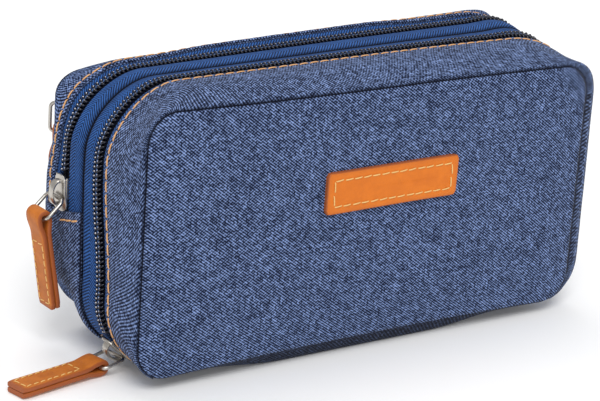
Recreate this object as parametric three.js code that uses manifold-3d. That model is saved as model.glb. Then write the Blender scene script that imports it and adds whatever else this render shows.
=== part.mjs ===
/**
 * Soft zipped case for a blood glucose meter, in millimetres, with +Z up.
 *
 * The case stands on its long bottom. Its front faces -Y, and its zips close at the left end, -X.
 * Two compartments share a divider: the front cover falls forward on its bottom seam, and the
 * upper half of the back folds down as a flap. A third zip closes a flat pocket on the back.
 * The origin is on the floor under the front zip.
 */
import * as THREE from "three";
import Module from "manifold-3d";

const wasm = await Module();
wasm.setup();

// Driving sizes of the whole case, over its widest outline between the two long zips.
const shell = {
  width: 188,
  height: 99,
  frontDepth: 29,
  rearDepth: 32,
  cornerRadius: 26,
  topCrown: 1,
};

// Each face is a smaller outline than the middle of the case, and the gusset tapers to it.
const frontFace = { sideInset: 1.7, bottomInset: 4, topInset: 4.2, cornerRadius: 11, taper: 16 };
const rearFace = { sideInset: 1.2, bottomInset: 3.5, topInset: 2.6, cornerRadius: 12, taper: 7 };

// How far the middle of a padded panel stands out from its seam, and where it gets flat.
const pillow = { height: 2.6, edgeRise: 1.2, shoulder: 2, slope: 8, flat: 23, innerEdge: 1.3 };

// How far the foam and lining of each face stay inside its seam, clear of the gusset and zips.
const padding = { frontInset: 3.8, rearInset: 7 };

const sheet = {
  cloth: 1,
  lining: 0.6,
  foam: 3,
  board: 2.6,
  tape: 0.6,
  elastic: 1.2,
  mesh: 0.5,
  leather: 1.7,
};

// Clearances between layers that are sewn together, between neighbours, and at what moves.
const gap = { layer: 0.2, seam: 0.3, running: 0.4 };

const zip = {
  pitch: 3.2,
  headReach: 0.55,
  headHeight: 0.8,
  rootHeight: 0.55,
  chainHalfWidth: 2,
  toFold: 5,
  tapeUnderCloth: 2.6,
};

// Angles are places on the lower corners, in degrees from the bottom.
const frontZip = {
  y: 0.3,
  endDrift: 5.6,
  sliderAngle: 42,
  farEndAngle: 30,
  coverEndAngle: 24,
  bottomEndAngle: 21,
};
const rearZip = { y: 19.6, endBelowMiddle: 1, sliderAboveEnd: 6.7, stopAboveEnd: 9, tapeTuck: 4 };
const pocketZip = { fromTop: 22, endInset: 8, windowInset: 4, sliderInset: 12 };
const pocketDepth = 3.4;
const middleY = 7.3;

const slider = {
  length: 12.5,
  plate: 1,
  narrowHalfWidth: 3.4,
  wideHalfWidth: 4.2,
  channelHalfWidth: 2.5,
  channelHalfHeight: 1.3,
  slotHalfHeight: 0.95,
  flangeLength: 8,
  postLength: 1.6,
  postHalfWidth: 0.8,
  noseRadius: 1.5,
  bridgeLength: 8.2,
  bridgeHalfWidth: 1.25,
  bridgeWire: 1,
  bridgeRise: 3.4,
};

const ring = { wire: 1.3, halfWidth: 5.1, length: 8.5, bend: 1.8, hangBack: 1.3 };

const pull = {
  length: 33,
  width: 9.8,
  neckWidth: 6,
  neckLength: 5,
  eyeRadius: 1.1,
  thickness: 3.6,
  cornerRadius: 2.4,
  shoulder: 7,
};

const label = { width: 55, height: 16, centreX: 5.2, aboveMiddle: 11.1, cornerRadius: 1.6 };
const meterBand = { width: 62, height: 30, centreX: -46, aboveMiddle: 0.5, hem: 5, slack: 0.6 };
const penLoops = {
  count: 3,
  innerWidth: 15,
  innerDepth: 8,
  height: 24,
  land: 5,
  centreX: 44,
  aboveMiddle: 6.5,
};
const meshPocket = { fromTop: 47, bottomInset: 14, sideInset: 9, hem: 5 };
const slipPocket = { fromTop: 41, bottomInset: 8, sideInset: 10 };

// Turns of the loose rings and pulls as they lie: tilt about the slider's cross axis, then yaw.
const frontPullPose = { ringTilt: 126, ringYaw: 6, pullTilt: 136.2, pullYaw: 9 };
const rearPullPose = { ringTilt: 46.5, pullTilt: -9.5 };
const pocketPullPose = { ringTilt: 38, ringDrop: 2, pullTilt: 12 };

// The outline is a loop of nine sections, from the middle of the bottom over the left end.
const section = { bottomLeft: 0, lowerLeft: 1, left: 2, upperLeft: 3 };
const sectionSteps = [3, 6, 4, 6, 8, 6, 4, 6, 3];
const loop = sectionSteps.length;
const cornerDegrees = 90;
const smallestRadius = 2;
const gussetSteps = 3;

// Steps in each curve of a drawn shape, in a ring's bend and around its wire.
const curveSteps = { plain: 4, plate: 3, arch: 5, ringBend: 4, wire: 6, chainMark: 40 };

const middleZ = shell.height / 2;
const rearEndZ = middleZ - rearZip.endBelowMiddle;
const rearSliderZ = rearEndZ + rearZip.sliderAboveEnd;

const denim = cloth(0x4a5f8c, 0.92);
const liningCloth = cloth(0x23283a, 0.85);
const foam = cloth(0x6d7178, 0.95);
const board = cloth(0x2a3046, 0.9);
const tape = cloth(0x24427c, 0.8);
const coil = cloth(0x141b30, 0.35);
const elastic = cloth(0x16181f, 0.9);
const mesh = cloth(0x1d2027, 0.95);
const leather = cloth(0xc4702f, 0.6);
const nickel = new THREE.MeshStandardMaterial({ color: 0xb7b2a8, metalness: 1, roughness: 0.28 });

/** A material without metal in one colour. */
function cloth(color, roughness) {
  return new THREE.MeshStandardMaterial({ color, roughness, metalness: 0 });
}

/** The section number of the same place on the other end of the case. */
function mirrored(q) {
  return loop - q;
}

/** The size of the case's outline at one depth: widest in the middle, smaller at either face. */
function outlineAt(y) {
  const face = y < 0 ? frontFace : rearFace;
  const toSeam = y < 0 ? shell.frontDepth + y : shell.rearDepth - y;
  const share = Math.sin((Math.PI / 2) * THREE.MathUtils.clamp(toSeam / face.taper, 0, 1));
  const inset = (full) => full * (1 - share);
  return {
    halfWidth: shell.width / 2 - inset(face.sideInset),
    bottom: inset(face.bottomInset),
    top: shell.height - inset(face.topInset),
    radius: THREE.MathUtils.lerp(face.cornerRadius, shell.cornerRadius, share),
  };
}

/** The point at section q on an outline that is drawn in by an inset, as [x, z]. */
function outlinePoint(outline, q, inset) {
  const s = ((q % loop) + loop) % loop;
  if (s > loop / 2) {
    const [x, z] = outlinePoint(outline, loop - s, inset);
    return [-x, z];
  }
  const halfWidth = outline.halfWidth - inset;
  const bottom = outline.bottom + inset;
  const top = outline.top - inset;
  const radius = Math.max(outline.radius - inset, smallestRadius);
  const cornerX = halfWidth - radius;
  const whole = Math.floor(s);
  const part = s - whole;
  const turn = (part * Math.PI) / 2;
  if (whole === section.bottomLeft) return [-cornerX * part, bottom];
  if (whole === section.lowerLeft)
    return [-cornerX - radius * Math.sin(turn), bottom + radius - radius * Math.cos(turn)];
  if (whole === section.left)
    return [-halfWidth, THREE.MathUtils.lerp(bottom + radius, top - radius, part)];
  if (whole === section.upperLeft)
    return [-cornerX - radius * Math.cos(turn), top - radius + radius * Math.sin(turn)];
  const across = 2 * part - 1;
  return [cornerX * across, top + shell.topCrown * (1 - across * across)];
}

/** The same point in space. */
function shellPoint(q, y, inset) {
  const [x, z] = outlinePoint(outlineAt(y), q, inset);
  return new THREE.Vector3(x, y, z);
}

/** The sections where a strip from one place to another has its cross-sections. */
function stations(from, to) {
  const list = [from];
  for (let whole = Math.floor(from); whole < to; whole++) {
    const steps = sectionSteps[((whole % loop) + loop) % loop];
    for (let i = 0; i < steps; i++) {
      const q = whole + i / steps;
      const clear = 1 / (4 * steps);
      if (q > from + clear && q < to - clear) list.push(q);
    }
  }
  return [...list, to];
}

/** The section on the left end, above its lower corner, at one height. */
function leftSectionAt(z) {
  const low = shell.cornerRadius;
  return section.left + (z - low) / (shell.height - shell.cornerRadius - low);
}

/** The section on the lower left corner at an angle from the bottom, in degrees. */
function cornerSectionAt(degrees) {
  return section.lowerLeft + degrees / cornerDegrees;
}

/** A closed surface from rings of points, each joined to the next; an open row gets end caps. */
function skin(rings, closed) {
  const points = rings.flat();
  const size = rings[0].length;
  const faces = [];
  const triangle = (a, b, c) => {
    const [pa, pb, pc] = [points[a], points[b], points[c]];
    if (!pa.equals(pb) && !pb.equals(pc) && !pc.equals(pa)) faces.push(a, b, c);
  };
  const quad = (a, b, c, d) => {
    triangle(a, b, c);
    triangle(a, c, d);
  };
  const last = closed ? rings.length : rings.length - 1;
  for (let i = 0; i < last; i++) {
    const here = i * size;
    const next = ((i + 1) % rings.length) * size;
    for (let j = 0; j < size; j++) {
      const k = (j + 1) % size;
      quad(here + j, here + k, next + k, next + j);
    }
  }
  if (!closed) {
    const end = (rings.length - 1) * size;
    for (let j = 0; j < Math.floor((size - 1) / 2); j++) {
      const k = size - 1 - j;
      quad(j, k, k - 1, j + 1);
      quad(end + j, end + j + 1, end + k - 1, end + k);
    }
  }
  const geometry = new THREE.BufferGeometry();
  geometry.setAttribute(
    "position",
    new THREE.Float32BufferAttribute(points.flatMap((p) => p.toArray()), 3),
  );
  geometry.setIndex(faces);
  return facingOut(geometry);
}

/** The geometry with its faces turned round if they point inwards. */
function facingOut(geometry) {
  const index = geometry.index.array;
  const position = geometry.attributes.position;
  const corner = [0, 1, 2].map(() => new THREE.Vector3());
  let volume = 0;
  for (let i = 0; i < index.length; i += 3) {
    corner.forEach((p, j) => p.fromBufferAttribute(position, index[i + j]));
    volume += corner[0].dot(corner[1].clone().cross(corner[2]));
  }
  if (volume < 0) geometry.setIndex(Array.from(index).reverse());
  return geometry;
}

/** A three.js geometry as a solid that can be joined or cut. */
function solid(geometry) {
  const flat = geometry.index ? geometry.toNonIndexed() : geometry;
  const keys = new Map();
  const points = [];
  const position = flat.attributes.position;
  const index = Array.from({ length: position.count }, (_, i) => {
    const p = [position.getX(i), position.getY(i), position.getZ(i)].map(Math.fround);
    const key = p.map((v) => v.toFixed(4)).join();
    if (!keys.has(key)) keys.set(key, points.push(...p) / 3 - 1);
    return keys.get(key);
  });
  const kept = [];
  for (let i = 0; i < index.length; i += 3) {
    const [a, b, c] = index.slice(i, i + 3);
    if (a !== b && b !== c && c !== a) kept.push(a, b, c);
  }
  return new wasm.Manifold(
    new wasm.Mesh({
      numProp: 3,
      vertProperties: new Float32Array(points),
      triVerts: new Uint32Array(kept),
    }),
  );
}

/** A joined or cut solid as a three.js geometry. */
function geometryOf(body) {
  const data = body.getMesh();
  const geometry = new THREE.BufferGeometry();
  geometry.setAttribute("position", new THREE.Float32BufferAttribute(data.vertProperties, 3));
  geometry.setIndex(Array.from(data.triVerts));
  return geometry;
}

/** A box between two corners. */
function block(low, high) {
  const size = high.map((v, i) => v - low[i]);
  const box = new THREE.BoxGeometry(...size);
  return box.translate(...low.map((v, i) => v + size[i] / 2));
}

/** A shape drawn out along Z from one height to another. */
function prism(shape, from, to, curveSegments = curveSteps.plain) {
  const drawn = new THREE.ExtrudeGeometry(shape, {
    depth: to - from,
    bevelEnabled: false,
    curveSegments,
  });
  return drawn.translate(0, 0, from);
}

/** A rectangle with round corners, between two corner points. */
function roundedRectangle(x0, y0, x1, y1, r) {
  const shape = new THREE.Shape();
  shape.moveTo(x0 + r, y0);
  shape.lineTo(x1 - r, y0);
  shape.absarc(x1 - r, y0 + r, r, -Math.PI / 2, 0);
  shape.lineTo(x1, y1 - r);
  shape.absarc(x1 - r, y1 - r, r, 0, Math.PI / 2);
  shape.lineTo(x0 + r, y1);
  shape.absarc(x0 + r, y1 - r, r, Math.PI / 2, Math.PI);
  shape.lineTo(x0, y0 + r);
  shape.absarc(x0 + r, y0 + r, r, Math.PI, 1.5 * Math.PI);
  return shape;
}

/** A strip of cloth that follows the case's outline; its long edges may wander along it. */
function strip({ fromY, toY, fromQ, toQ, inset, thickness, steps = 1 }) {
  const closed = toQ - fromQ === loop;
  const at = (edge, q) => (typeof edge === "function" ? edge(q) : edge);
  const list = stations(fromQ, toQ);
  if (closed) list.pop();
  const rings = list.map((q) => {
    const across = [];
    for (let i = 0; i <= steps; i++) {
      across.push(THREE.MathUtils.lerp(at(fromY, q), at(toY, q), i / steps));
    }
    return [
      ...across.map((y) => shellPoint(q, y, inset)),
      ...across.reverse().map((y) => shellPoint(q, y, inset + thickness)),
    ];
  });
  return skin(rings, closed);
}

/** How far a padded panel stands out of its seam plane at a distance from its edge. */
function pillowHeight(inset) {
  const { height, edgeRise, shoulder, flat } = pillow;
  if (inset < shoulder) return edgeRise * Math.sin((inset / shoulder) * (Math.PI / 2));
  const share = Math.min((inset - shoulder) / (flat - shoulder), 1);
  return edgeRise + (height - edgeRise) * Math.sin((share * Math.PI) / 2);
}

/** One layer of a padded face: a sheet that is crowned like the pillow, set back by an offset. */
function panelLayer({ face, edge, innerEdge = edge, offset, thickness }) {
  const front = face === frontFace;
  const seamY = front ? -shell.frontDepth : shell.rearDepth;
  const outward = front ? -1 : 1;
  const outline = outlineAt(seamY);
  const insets = [edge, edge + pillow.shoulder, edge + pillow.slope, edge + pillow.flat];
  const inner = [innerEdge, ...insets.slice(1)];
  const centreZ = (outline.top + outline.bottom) / 2;
  const depthAt = (inset, behind) => seamY + outward * (gap.layer + pillowHeight(inset) - behind);
  const rowPoint = (q, inset, behind) => {
    const [x, z] = outlinePoint(outline, q, inset);
    return new THREE.Vector3(x, depthAt(inset, behind), z);
  };
  const pole = (behind) => new THREE.Vector3(0, depthAt(edge + pillow.flat, behind), centreZ);
  const rings = stations(0, loop)
    .slice(0, -1)
    .map((q) => [
      pole(offset),
      ...insets.map((inset) => rowPoint(q, inset, offset)).reverse(),
      ...inner.map((inset) => rowPoint(q, inset, offset + thickness)),
      pole(offset + thickness),
    ]);
  return skin(rings, true);
}

/** The part of a solid between two heights. */
function between(geometry, fromZ, toZ) {
  const reach = shell.width;
  const slab = block([-reach, -reach, fromZ], [reach, reach, toZ]);
  return geometryOf(solid(geometry).intersect(solid(slab)));
}

/** Where the front zip runs in depth: it drifts forward on its way down either end. */
function frontZipY(q) {
  const fromEnd = q < loop / 2 ? q : mirrored(q);
  const share = THREE.MathUtils.smoothstep(fromEnd, section.left, section.upperLeft);
  return frontZip.y - frontZip.endDrift * (1 - share);
}

/** Evenly spaced places along a path, one for each head and each valley of a zip chain. */
function evenPlaces(pathAt, from, to) {
  const total = Math.ceil((to - from) * curveSteps.chainMark);
  const marks = [{ at: from, length: 0 }];
  for (let i = 1; i <= total; i++) {
    const at = THREE.MathUtils.lerp(from, to, i / total);
    const before = marks[marks.length - 1];
    marks.push({ at, length: before.length + pathAt(at).distanceTo(pathAt(before.at)) });
  }
  const whole = marks[marks.length - 1].length;
  const count = 2 * Math.floor(whole / zip.pitch);
  let mark = 0;
  return Array.from({ length: count + 1 }, (_, i) => {
    const goal = (whole * i) / count;
    while (mark < marks.length - 2 && marks[mark + 1].length < goal) mark++;
    const [a, b] = [marks[mark], marks[mark + 1]];
    return THREE.MathUtils.lerp(a.at, b.at, (goal - a.length) / (b.length - a.length));
  });
}

/**
 * One half of a zip chain. The edges of both halves follow the same zigzag with a small gap
 * between them, so that the heads of each half sit in the valleys of the other.
 */
function chainHalf({ pathAt, across, out, from, to, side }) {
  const rings = evenPlaces(pathAt, from, to).map((at, i) => {
    const centre = pathAt(at);
    const zigzag = i % 2 === 0 ? 1 : -1;
    const isHead = zigzag === -side;
    const edge = zigzag * zip.headReach + side * (gap.seam / 2);
    const height = isHead ? zip.headHeight : zip.rootHeight;
    const place = (sideways, up) =>
      centre.clone().addScaledVector(across(at), sideways).addScaledVector(out(at), up);
    return [place(side * zip.chainHalfWidth, 0), place(edge, height), place(edge, -height)];
  });
  return skin(rings, false);
}

const tapeInset = sheet.cloth + gap.layer;
const chainInset = tapeInset + sheet.tape / 2;
const tapeEdge = zip.chainHalfWidth + gap.layer;
const acrossY = () => new THREE.Vector3(0, 1, 0);

/** The way out of the case, square to its outline, at one section. */
function outwardAt(q, y) {
  const outer = shellPoint(q, y, 0);
  return outer.sub(shellPoint(q, y, chainInset)).normalize();
}

/** Half a chain that runs round the case at a depth that may depend on the section. */
function roundChain(yAt, from, to, side) {
  return chainHalf({
    pathAt: (q) => shellPoint(q, yAt(q), chainInset),
    across: acrossY,
    out: (q) => outwardAt(q, yAt(q)),
    from,
    to,
    side,
  });
}

/** A plate of the slider: wide where the chain divides, narrow where it leaves closed. */
function sliderPlate() {
  const { length, narrowHalfWidth: narrow, wideHalfWidth: wide, noseRadius: r } = slider;
  const half = length / 2;
  const shape = new THREE.Shape();
  shape.moveTo(half, narrow - r);
  shape.absarc(half - r, narrow - r, r, 0, Math.PI / 2);
  shape.lineTo(-half + 2 * r, wide);
  shape.absarc(-half + 2 * r, wide - 2 * r, 2 * r, Math.PI / 2, Math.PI);
  shape.lineTo(-half, -(wide - 2 * r));
  shape.absarc(-half + 2 * r, -(wide - 2 * r), 2 * r, Math.PI, 1.5 * Math.PI);
  shape.lineTo(half - r, -narrow);
  shape.absarc(half - r, -(narrow - r), r, 1.5 * Math.PI, 2 * Math.PI);
  return shape;
}

/** The arch over the slider, which the ring hangs from. */
function sliderBridge() {
  const { bridgeLength, bridgeWire, bridgeRise, bridgeHalfWidth } = slider;
  const foot = slider.channelHalfHeight + slider.plate / 2;
  const top = slider.channelHalfHeight + slider.plate + bridgeRise;
  const arch = (half, height) => {
    const lean = half / 3;
    const shape = new THREE.Shape();
    shape.moveTo(half, foot);
    shape.bezierCurveTo(half, height - lean, half - lean, height, 0, height);
    shape.bezierCurveTo(lean - half, height, -half, height - lean, -half, foot);
    return shape;
  };
  const outer = arch(bridgeLength / 2, top);
  const full = prism(outer, -bridgeHalfWidth, bridgeHalfWidth, curveSteps.arch);
  const hollow = prism(
    arch(bridgeLength / 2 - bridgeWire, top - bridgeWire),
    -slider.wideHalfWidth,
    slider.wideHalfWidth,
    curveSteps.arch,
  );
  const open = solid(full).subtract(solid(hollow));
  return open.rotate([90, 0, 0]);
}

/** A zip slider: two plates, the post between them, turned-in flanges and the bridge. */
function sliderGeometry() {
  const { channelHalfHeight: channel, plate, length, slotHalfHeight, channelHalfWidth } = slider;
  const outline = sliderPlate();
  const height = channel + plate;
  const whole = solid(prism(outline, -height, height, curveSteps.plate));
  const overrun = slider.length;
  const post = -length / 2 + slider.postLength;
  const channelCut = block([post, -channelHalfWidth, -channel], [overrun, channelHalfWidth, channel]);
  const slotCut = block([-overrun, -overrun, -slotHalfHeight], [overrun, overrun, slotHalfHeight]);
  const mouthEnd = length / 2 - slider.flangeLength;
  const mouthCut = block([-overrun, -overrun, -channel], [mouthEnd, overrun, channel]);
  const postBody = block(
    [-length / 2, -slider.postHalfWidth, -height + plate / 2],
    [post, slider.postHalfWidth, height - plate / 2],
  );
  const body = whole
    .subtract(solid(channelCut))
    .subtract(solid(slotCut))
    .subtract(solid(mouthCut))
    .add(solid(postBody).intersect(whole))
    .add(sliderBridge());
  return geometryOf(body);
}

/** The wire ring, as a rounded rectangle from its hinge bar at the origin towards -X. */
function ringGeometry() {
  const { wire, halfWidth, length, bend } = ring;
  const { ringBend, wire: sides } = curveSteps;
  const corners = [
    [-bend, halfWidth - bend],
    [-length + bend, halfWidth - bend],
    [-length + bend, bend - halfWidth],
    [-bend, bend - halfWidth],
  ];
  const stops = corners.flatMap(([x, y], quarter) =>
    Array.from({ length: ringBend + 1 }, (_, i) => {
      const turn = ((quarter + i / ringBend) * Math.PI) / 2;
      const centre = new THREE.Vector3(x + bend * Math.cos(turn), y + bend * Math.sin(turn), 0);
      return { centre, turn };
    }),
  );
  const rings = stops.map(({ centre, turn }) => {
    const out = new THREE.Vector3(Math.cos(turn), Math.sin(turn), 0);
    return Array.from({ length: sides }, (_, i) => {
      const angle = (2 * Math.PI * i) / sides;
      return centre
        .clone()
        .addScaledVector(out, (wire / 2) * Math.cos(angle))
        .add(new THREE.Vector3(0, 0, (wire / 2) * Math.sin(angle)));
    });
  });
  return skin(rings, true);
}

/** The leather pull: one strap folded round the ring's bar, its two ends stitched together. */
function pullGeometry() {
  const { length, width, neckWidth, neckLength, eyeRadius, thickness, cornerRadius, shoulder } = pull;
  const eyeOuter = eyeRadius + sheet.leather;
  const half = thickness / 2;
  const side = new THREE.Shape();
  side.moveTo(-length, -half);
  side.lineTo(-shoulder, -half);
  side.quadraticCurveTo(-neckLength, -half, -eyeRadius, -eyeOuter);
  side.absarc(0, 0, eyeOuter, -Math.PI / 2, Math.PI / 2);
  side.lineTo(-eyeRadius, eyeOuter);
  side.quadraticCurveTo(-neckLength, half, -shoulder, half);
  side.lineTo(-length, half);
  const eye = new THREE.Path();
  eye.absarc(0, 0, eyeRadius, 0, 2 * Math.PI, true);
  side.holes.push(eye);
  const strap = solid(prism(side, -width / 2, width / 2)).rotate([90, 0, 0]);
  const front = new THREE.Shape();
  front.moveTo(-length + cornerRadius, -width / 2);
  front.lineTo(-shoulder, -width / 2);
  front.quadraticCurveTo(-neckLength, -width / 2, -neckLength, -neckWidth / 2);
  front.lineTo(2 * eyeOuter, -neckWidth / 2);
  front.lineTo(2 * eyeOuter, neckWidth / 2);
  front.lineTo(-neckLength, neckWidth / 2);
  front.quadraticCurveTo(-neckLength, width / 2, -shoulder, width / 2);
  front.lineTo(-length + cornerRadius, width / 2);
  front.absarc(-length + cornerRadius, width / 2 - cornerRadius, cornerRadius, Math.PI / 2, Math.PI);
  front.absarc(-length + cornerRadius, cornerRadius - width / 2, cornerRadius, Math.PI, 1.5 * Math.PI);
  return geometryOf(strap.intersect(solid(prism(front, -eyeOuter, eyeOuter))));
}

/** A mesh with its node name. */
function piece(name, geometry, material) {
  const made = new THREE.Mesh(geometry, material);
  made.name = name;
  return made;
}

const ringHinge = {
  along: -ring.hangBack,
  out: slider.channelHalfHeight + slider.plate + (slider.bridgeRise - slider.bridgeWire) / 2,
};

/** A group turned by a tilt about its Y axis and then a yaw about world Z, in degrees. */
function turned(tilt, yaw = 0) {
  const group = new THREE.Group();
  group.rotation.set(0, THREE.MathUtils.degToRad(tilt), 0);
  group.rotateZ(THREE.MathUtils.degToRad(yaw));
  return group;
}

/** A slider with its ring and leather pull, in a frame along the chain, across it and out. */
function zipPull({ prefix, at, along, across, pose, pullOnSide }) {
  const group = new THREE.Group();
  const out = along.clone().cross(across);
  group.applyMatrix4(new THREE.Matrix4().makeBasis(along, across, out).setPosition(at));
  group.add(piece(`${prefix}_slider`, sliderGeometry(), nickel));
  const ringGroup = turned(pose.ringTilt, pose.ringYaw);
  ringGroup.position.set(ringHinge.along, pose.ringDrop ?? 0, ringHinge.out);
  ringGroup.add(piece(`${prefix}_ring`, ringGeometry(), nickel));
  const pullGroup = turned(pose.pullTilt - pose.ringTilt, (pose.pullYaw ?? 0) - (pose.ringYaw ?? 0));
  pullGroup.position.set(-ring.length, 0, 0);
  if (pullOnSide) {
    pullGroup.position.set(-ring.length / 2, ring.halfWidth, 0);
    pullGroup.rotation.set(THREE.MathUtils.degToRad(pose.pullTilt), 0, -Math.PI / 2);
  }
  pullGroup.add(piece(`${prefix}_pull`, pullGeometry(), leather));
  ringGroup.add(pullGroup);
  group.add(ringGroup);
  return group;
}

/** The front cover: a padded panel with its gusset, half a zip, the label and a mesh pocket. */
function frontCover() {
  const group = new THREE.Group();
  const fromQ = cornerSectionAt(frontZip.coverEndAngle);
  const toQ = mirrored(fromQ);
  const foldY = (q) => frontZipY(q) - zip.toFold;
  const chainFrom = frontChainFrom;
  const chainTo = frontChainTo;
  const coverSeam = gap.seam + sheet.cloth;
  group.add(
    piece("front_panel", panelLayer({
      face: frontFace, edge: 0, innerEdge: pillow.innerEdge, offset: 0, thickness: sheet.cloth,
    }), denim),
    piece("front_foam", panelLayer({
      face: frontFace, edge: padding.frontInset, offset: sheet.cloth + gap.layer, thickness: sheet.foam,
    }), foam),
    piece("front_lining", panelLayer({
      face: frontFace, edge: padding.frontInset, offset: sheet.cloth + sheet.foam + 2 * gap.layer,
      thickness: sheet.lining,
    }), liningCloth),
    piece("front_gusset", strip({
      fromY: -shell.frontDepth, toY: foldY, fromQ, toQ, inset: 0, thickness: sheet.cloth, steps: gussetSteps,
    }), denim),
    piece("front_gusset_lining", strip({
      fromY: coverSeam - shell.frontDepth, toY: (q) => foldY(q) - zip.tapeUnderCloth - gap.layer,
      fromQ, toQ, inset: coverSeam, thickness: sheet.lining, steps: gussetSteps,
    }), liningCloth),
    piece("front_tape_cover", strip({
      fromY: (q) => foldY(q) - zip.tapeUnderCloth, toY: (q) => frontZipY(q) - tapeEdge,
      fromQ: chainFrom, toQ: chainTo, inset: tapeInset, thickness: sheet.tape,
    }), tape),
    piece("front_coil_cover", roundChain(frontZipY, chainFrom, chainTo, -1), coil),
    piece("label_patch", labelPatch(), leather),
    ...meshPocketPieces(),
  );
  return group;
}

/** The bare leather label on the front panel. */
function labelPatch() {
  const back = -shell.frontDepth - pillow.height - 2 * gap.layer;
  const centreZ = middleZ + label.aboveMiddle;
  const shape = roundedRectangle(
    label.centreX - label.width / 2,
    centreZ - label.height / 2,
    label.centreX + label.width / 2,
    centreZ + label.height / 2,
    label.cornerRadius,
  );
  return prism(shape, 0, sheet.leather).rotateX(Math.PI / 2).translate(0, back, 0);
}

/** The mesh pocket inside the cover, and the elastic hem along its mouth. */
function meshPocketPieces() {
  const lining = panelInnerY(frontFace);
  const face = lining + 2 * gap.layer;
  const halfWidth = shell.width / 2 - meshPocket.sideInset;
  const top = shell.height - meshPocket.fromTop;
  const hemFrom = top - meshPocket.hem;
  return [
    piece("mesh_pocket", block(
      [-halfWidth, face, meshPocket.bottomInset],
      [halfWidth, face + sheet.mesh, hemFrom],
    ), mesh),
    piece("mesh_pocket_hem", block(
      [-halfWidth, face, hemFrom],
      [halfWidth, face + sheet.elastic, top],
    ), elastic),
  ];
}

/** The depth of a padded face's inner side where it is thickest. */
function panelInnerY(face) {
  const layers = 2 * gap.layer + sheet.cloth + sheet.foam + sheet.lining;
  if (face === frontFace) return -shell.frontDepth - gap.layer - pillow.edgeRise + layers;
  return shell.rearDepth + gap.layer + pillow.edgeRise - layers - pocketDepth;
}

const arcSink = slider.length ** 2 / (8 * (shell.cornerRadius - chainInset));
const halfSliderDegrees = THREE.MathUtils.radToDeg(
  (slider.length / 2 + gap.running) / (shell.cornerRadius - chainInset),
);
const frontChainFrom = cornerSectionAt(frontZip.sliderAngle + halfSliderDegrees);
const frontChainTo = mirrored(cornerSectionAt(frontZip.farEndAngle));
const rearChainFrom = leftSectionAt(rearSliderZ + slider.length / 2 + gap.running);
const rearChainTo = mirrored(leftSectionAt(rearEndZ + rearZip.stopAboveEnd));
const rearTapeTo = mirrored(leftSectionAt(rearEndZ + gap.seam));
const rearZipY = () => rearZip.y;
const rearFoldY = rearZip.y + zip.toFold;

/** The fixed middle: divider, inner halves of both zips, bottom, lower ends and lower back. */
function caseBody() {
  const group = new THREE.Group();
  const bottomTo = cornerSectionAt(frontZip.bottomEndAngle);
  const lowerEnd = leftSectionAt(rearEndZ - gap.seam);
  const tapeEnd = leftSectionAt(rearEndZ - rearZip.tapeTuck);
  const tapeStart = cornerSectionAt(frontZip.coverEndAngle);
  group.add(
    piece("front_bottom_gusset", strip({
      fromY: -shell.frontDepth, toY: middleY - gap.seam, fromQ: -bottomTo, toQ: bottomTo,
      inset: 0, thickness: sheet.cloth, steps: gussetSteps + 1,
    }), denim),
    piece("rear_lower_gusset", strip({
      fromY: middleY, toY: shell.rearDepth, fromQ: -lowerEnd, toQ: lowerEnd,
      inset: 0, thickness: sheet.cloth, steps: gussetSteps,
    }), denim),
    piece("front_tape_case", strip({
      fromY: (q) => frontZipY(q) + tapeEdge, toY: middleY - gap.seam,
      fromQ: tapeStart, toQ: mirrored(tapeStart), inset: tapeInset, thickness: sheet.tape,
    }), tape),
    piece("rear_tape_case", strip({
      fromY: middleY, toY: rearZip.y - tapeEdge,
      fromQ: tapeEnd, toQ: mirrored(tapeEnd), inset: tapeInset, thickness: sheet.tape,
    }), tape),
    piece("front_coil_case", roundChain(frontZipY, frontChainFrom, frontChainTo, 1), coil),
    piece("rear_coil_case", roundChain(rearZipY, rearChainFrom, rearChainTo, -1), coil),
    piece("divider_panel", dividerPanel(), board),
    piece("meter_band", meterBandGeometry(), elastic),
    piece("pen_loops", penLoopGeometry(), elastic),
    piece("slip_pocket", slipPocketGeometry(), liningCloth),
    ...rearLayers("lower", -shell.height, rearEndZ - gap.seam),
  );
  return group;
}

/** The stiffened wall between the two compartments. */
function dividerPanel() {
  const inset = tapeInset + sheet.tape + gap.running;
  const list = stations(0, loop).slice(0, -1);
  const outline = outlineAt(middleY);
  const shape = new THREE.Shape(
    list.map((q) => new THREE.Vector2(...outlinePoint(outline, q, inset))),
  );
  return prism(shape, 0, sheet.board).rotateX(Math.PI / 2).translate(0, middleY + sheet.board / 2, 0);
}

const dividerFront = middleY - sheet.board / 2;
const dividerBack = middleY + sheet.board / 2;

/** The wide elastic band that holds the meter, sewn down at both ends. */
function meterBandGeometry() {
  const { width, height, centreX, hem, slack } = meterBand;
  const centreZ = middleZ + meterBand.aboveMiddle;
  const shape = new THREE.Shape();
  const half = width / 2;
  shape.moveTo(-half, 0);
  shape.lineTo(hem - half, 0);
  shape.lineTo(hem - half, -slack);
  shape.lineTo(half - hem, -slack);
  shape.lineTo(half - hem, 0);
  shape.lineTo(half, 0);
  shape.lineTo(half, -slack - sheet.elastic);
  shape.lineTo(-half, -slack - sheet.elastic);
  return prism(shape, -height / 2, height / 2).translate(centreX, dividerFront, centreZ);
}

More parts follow.
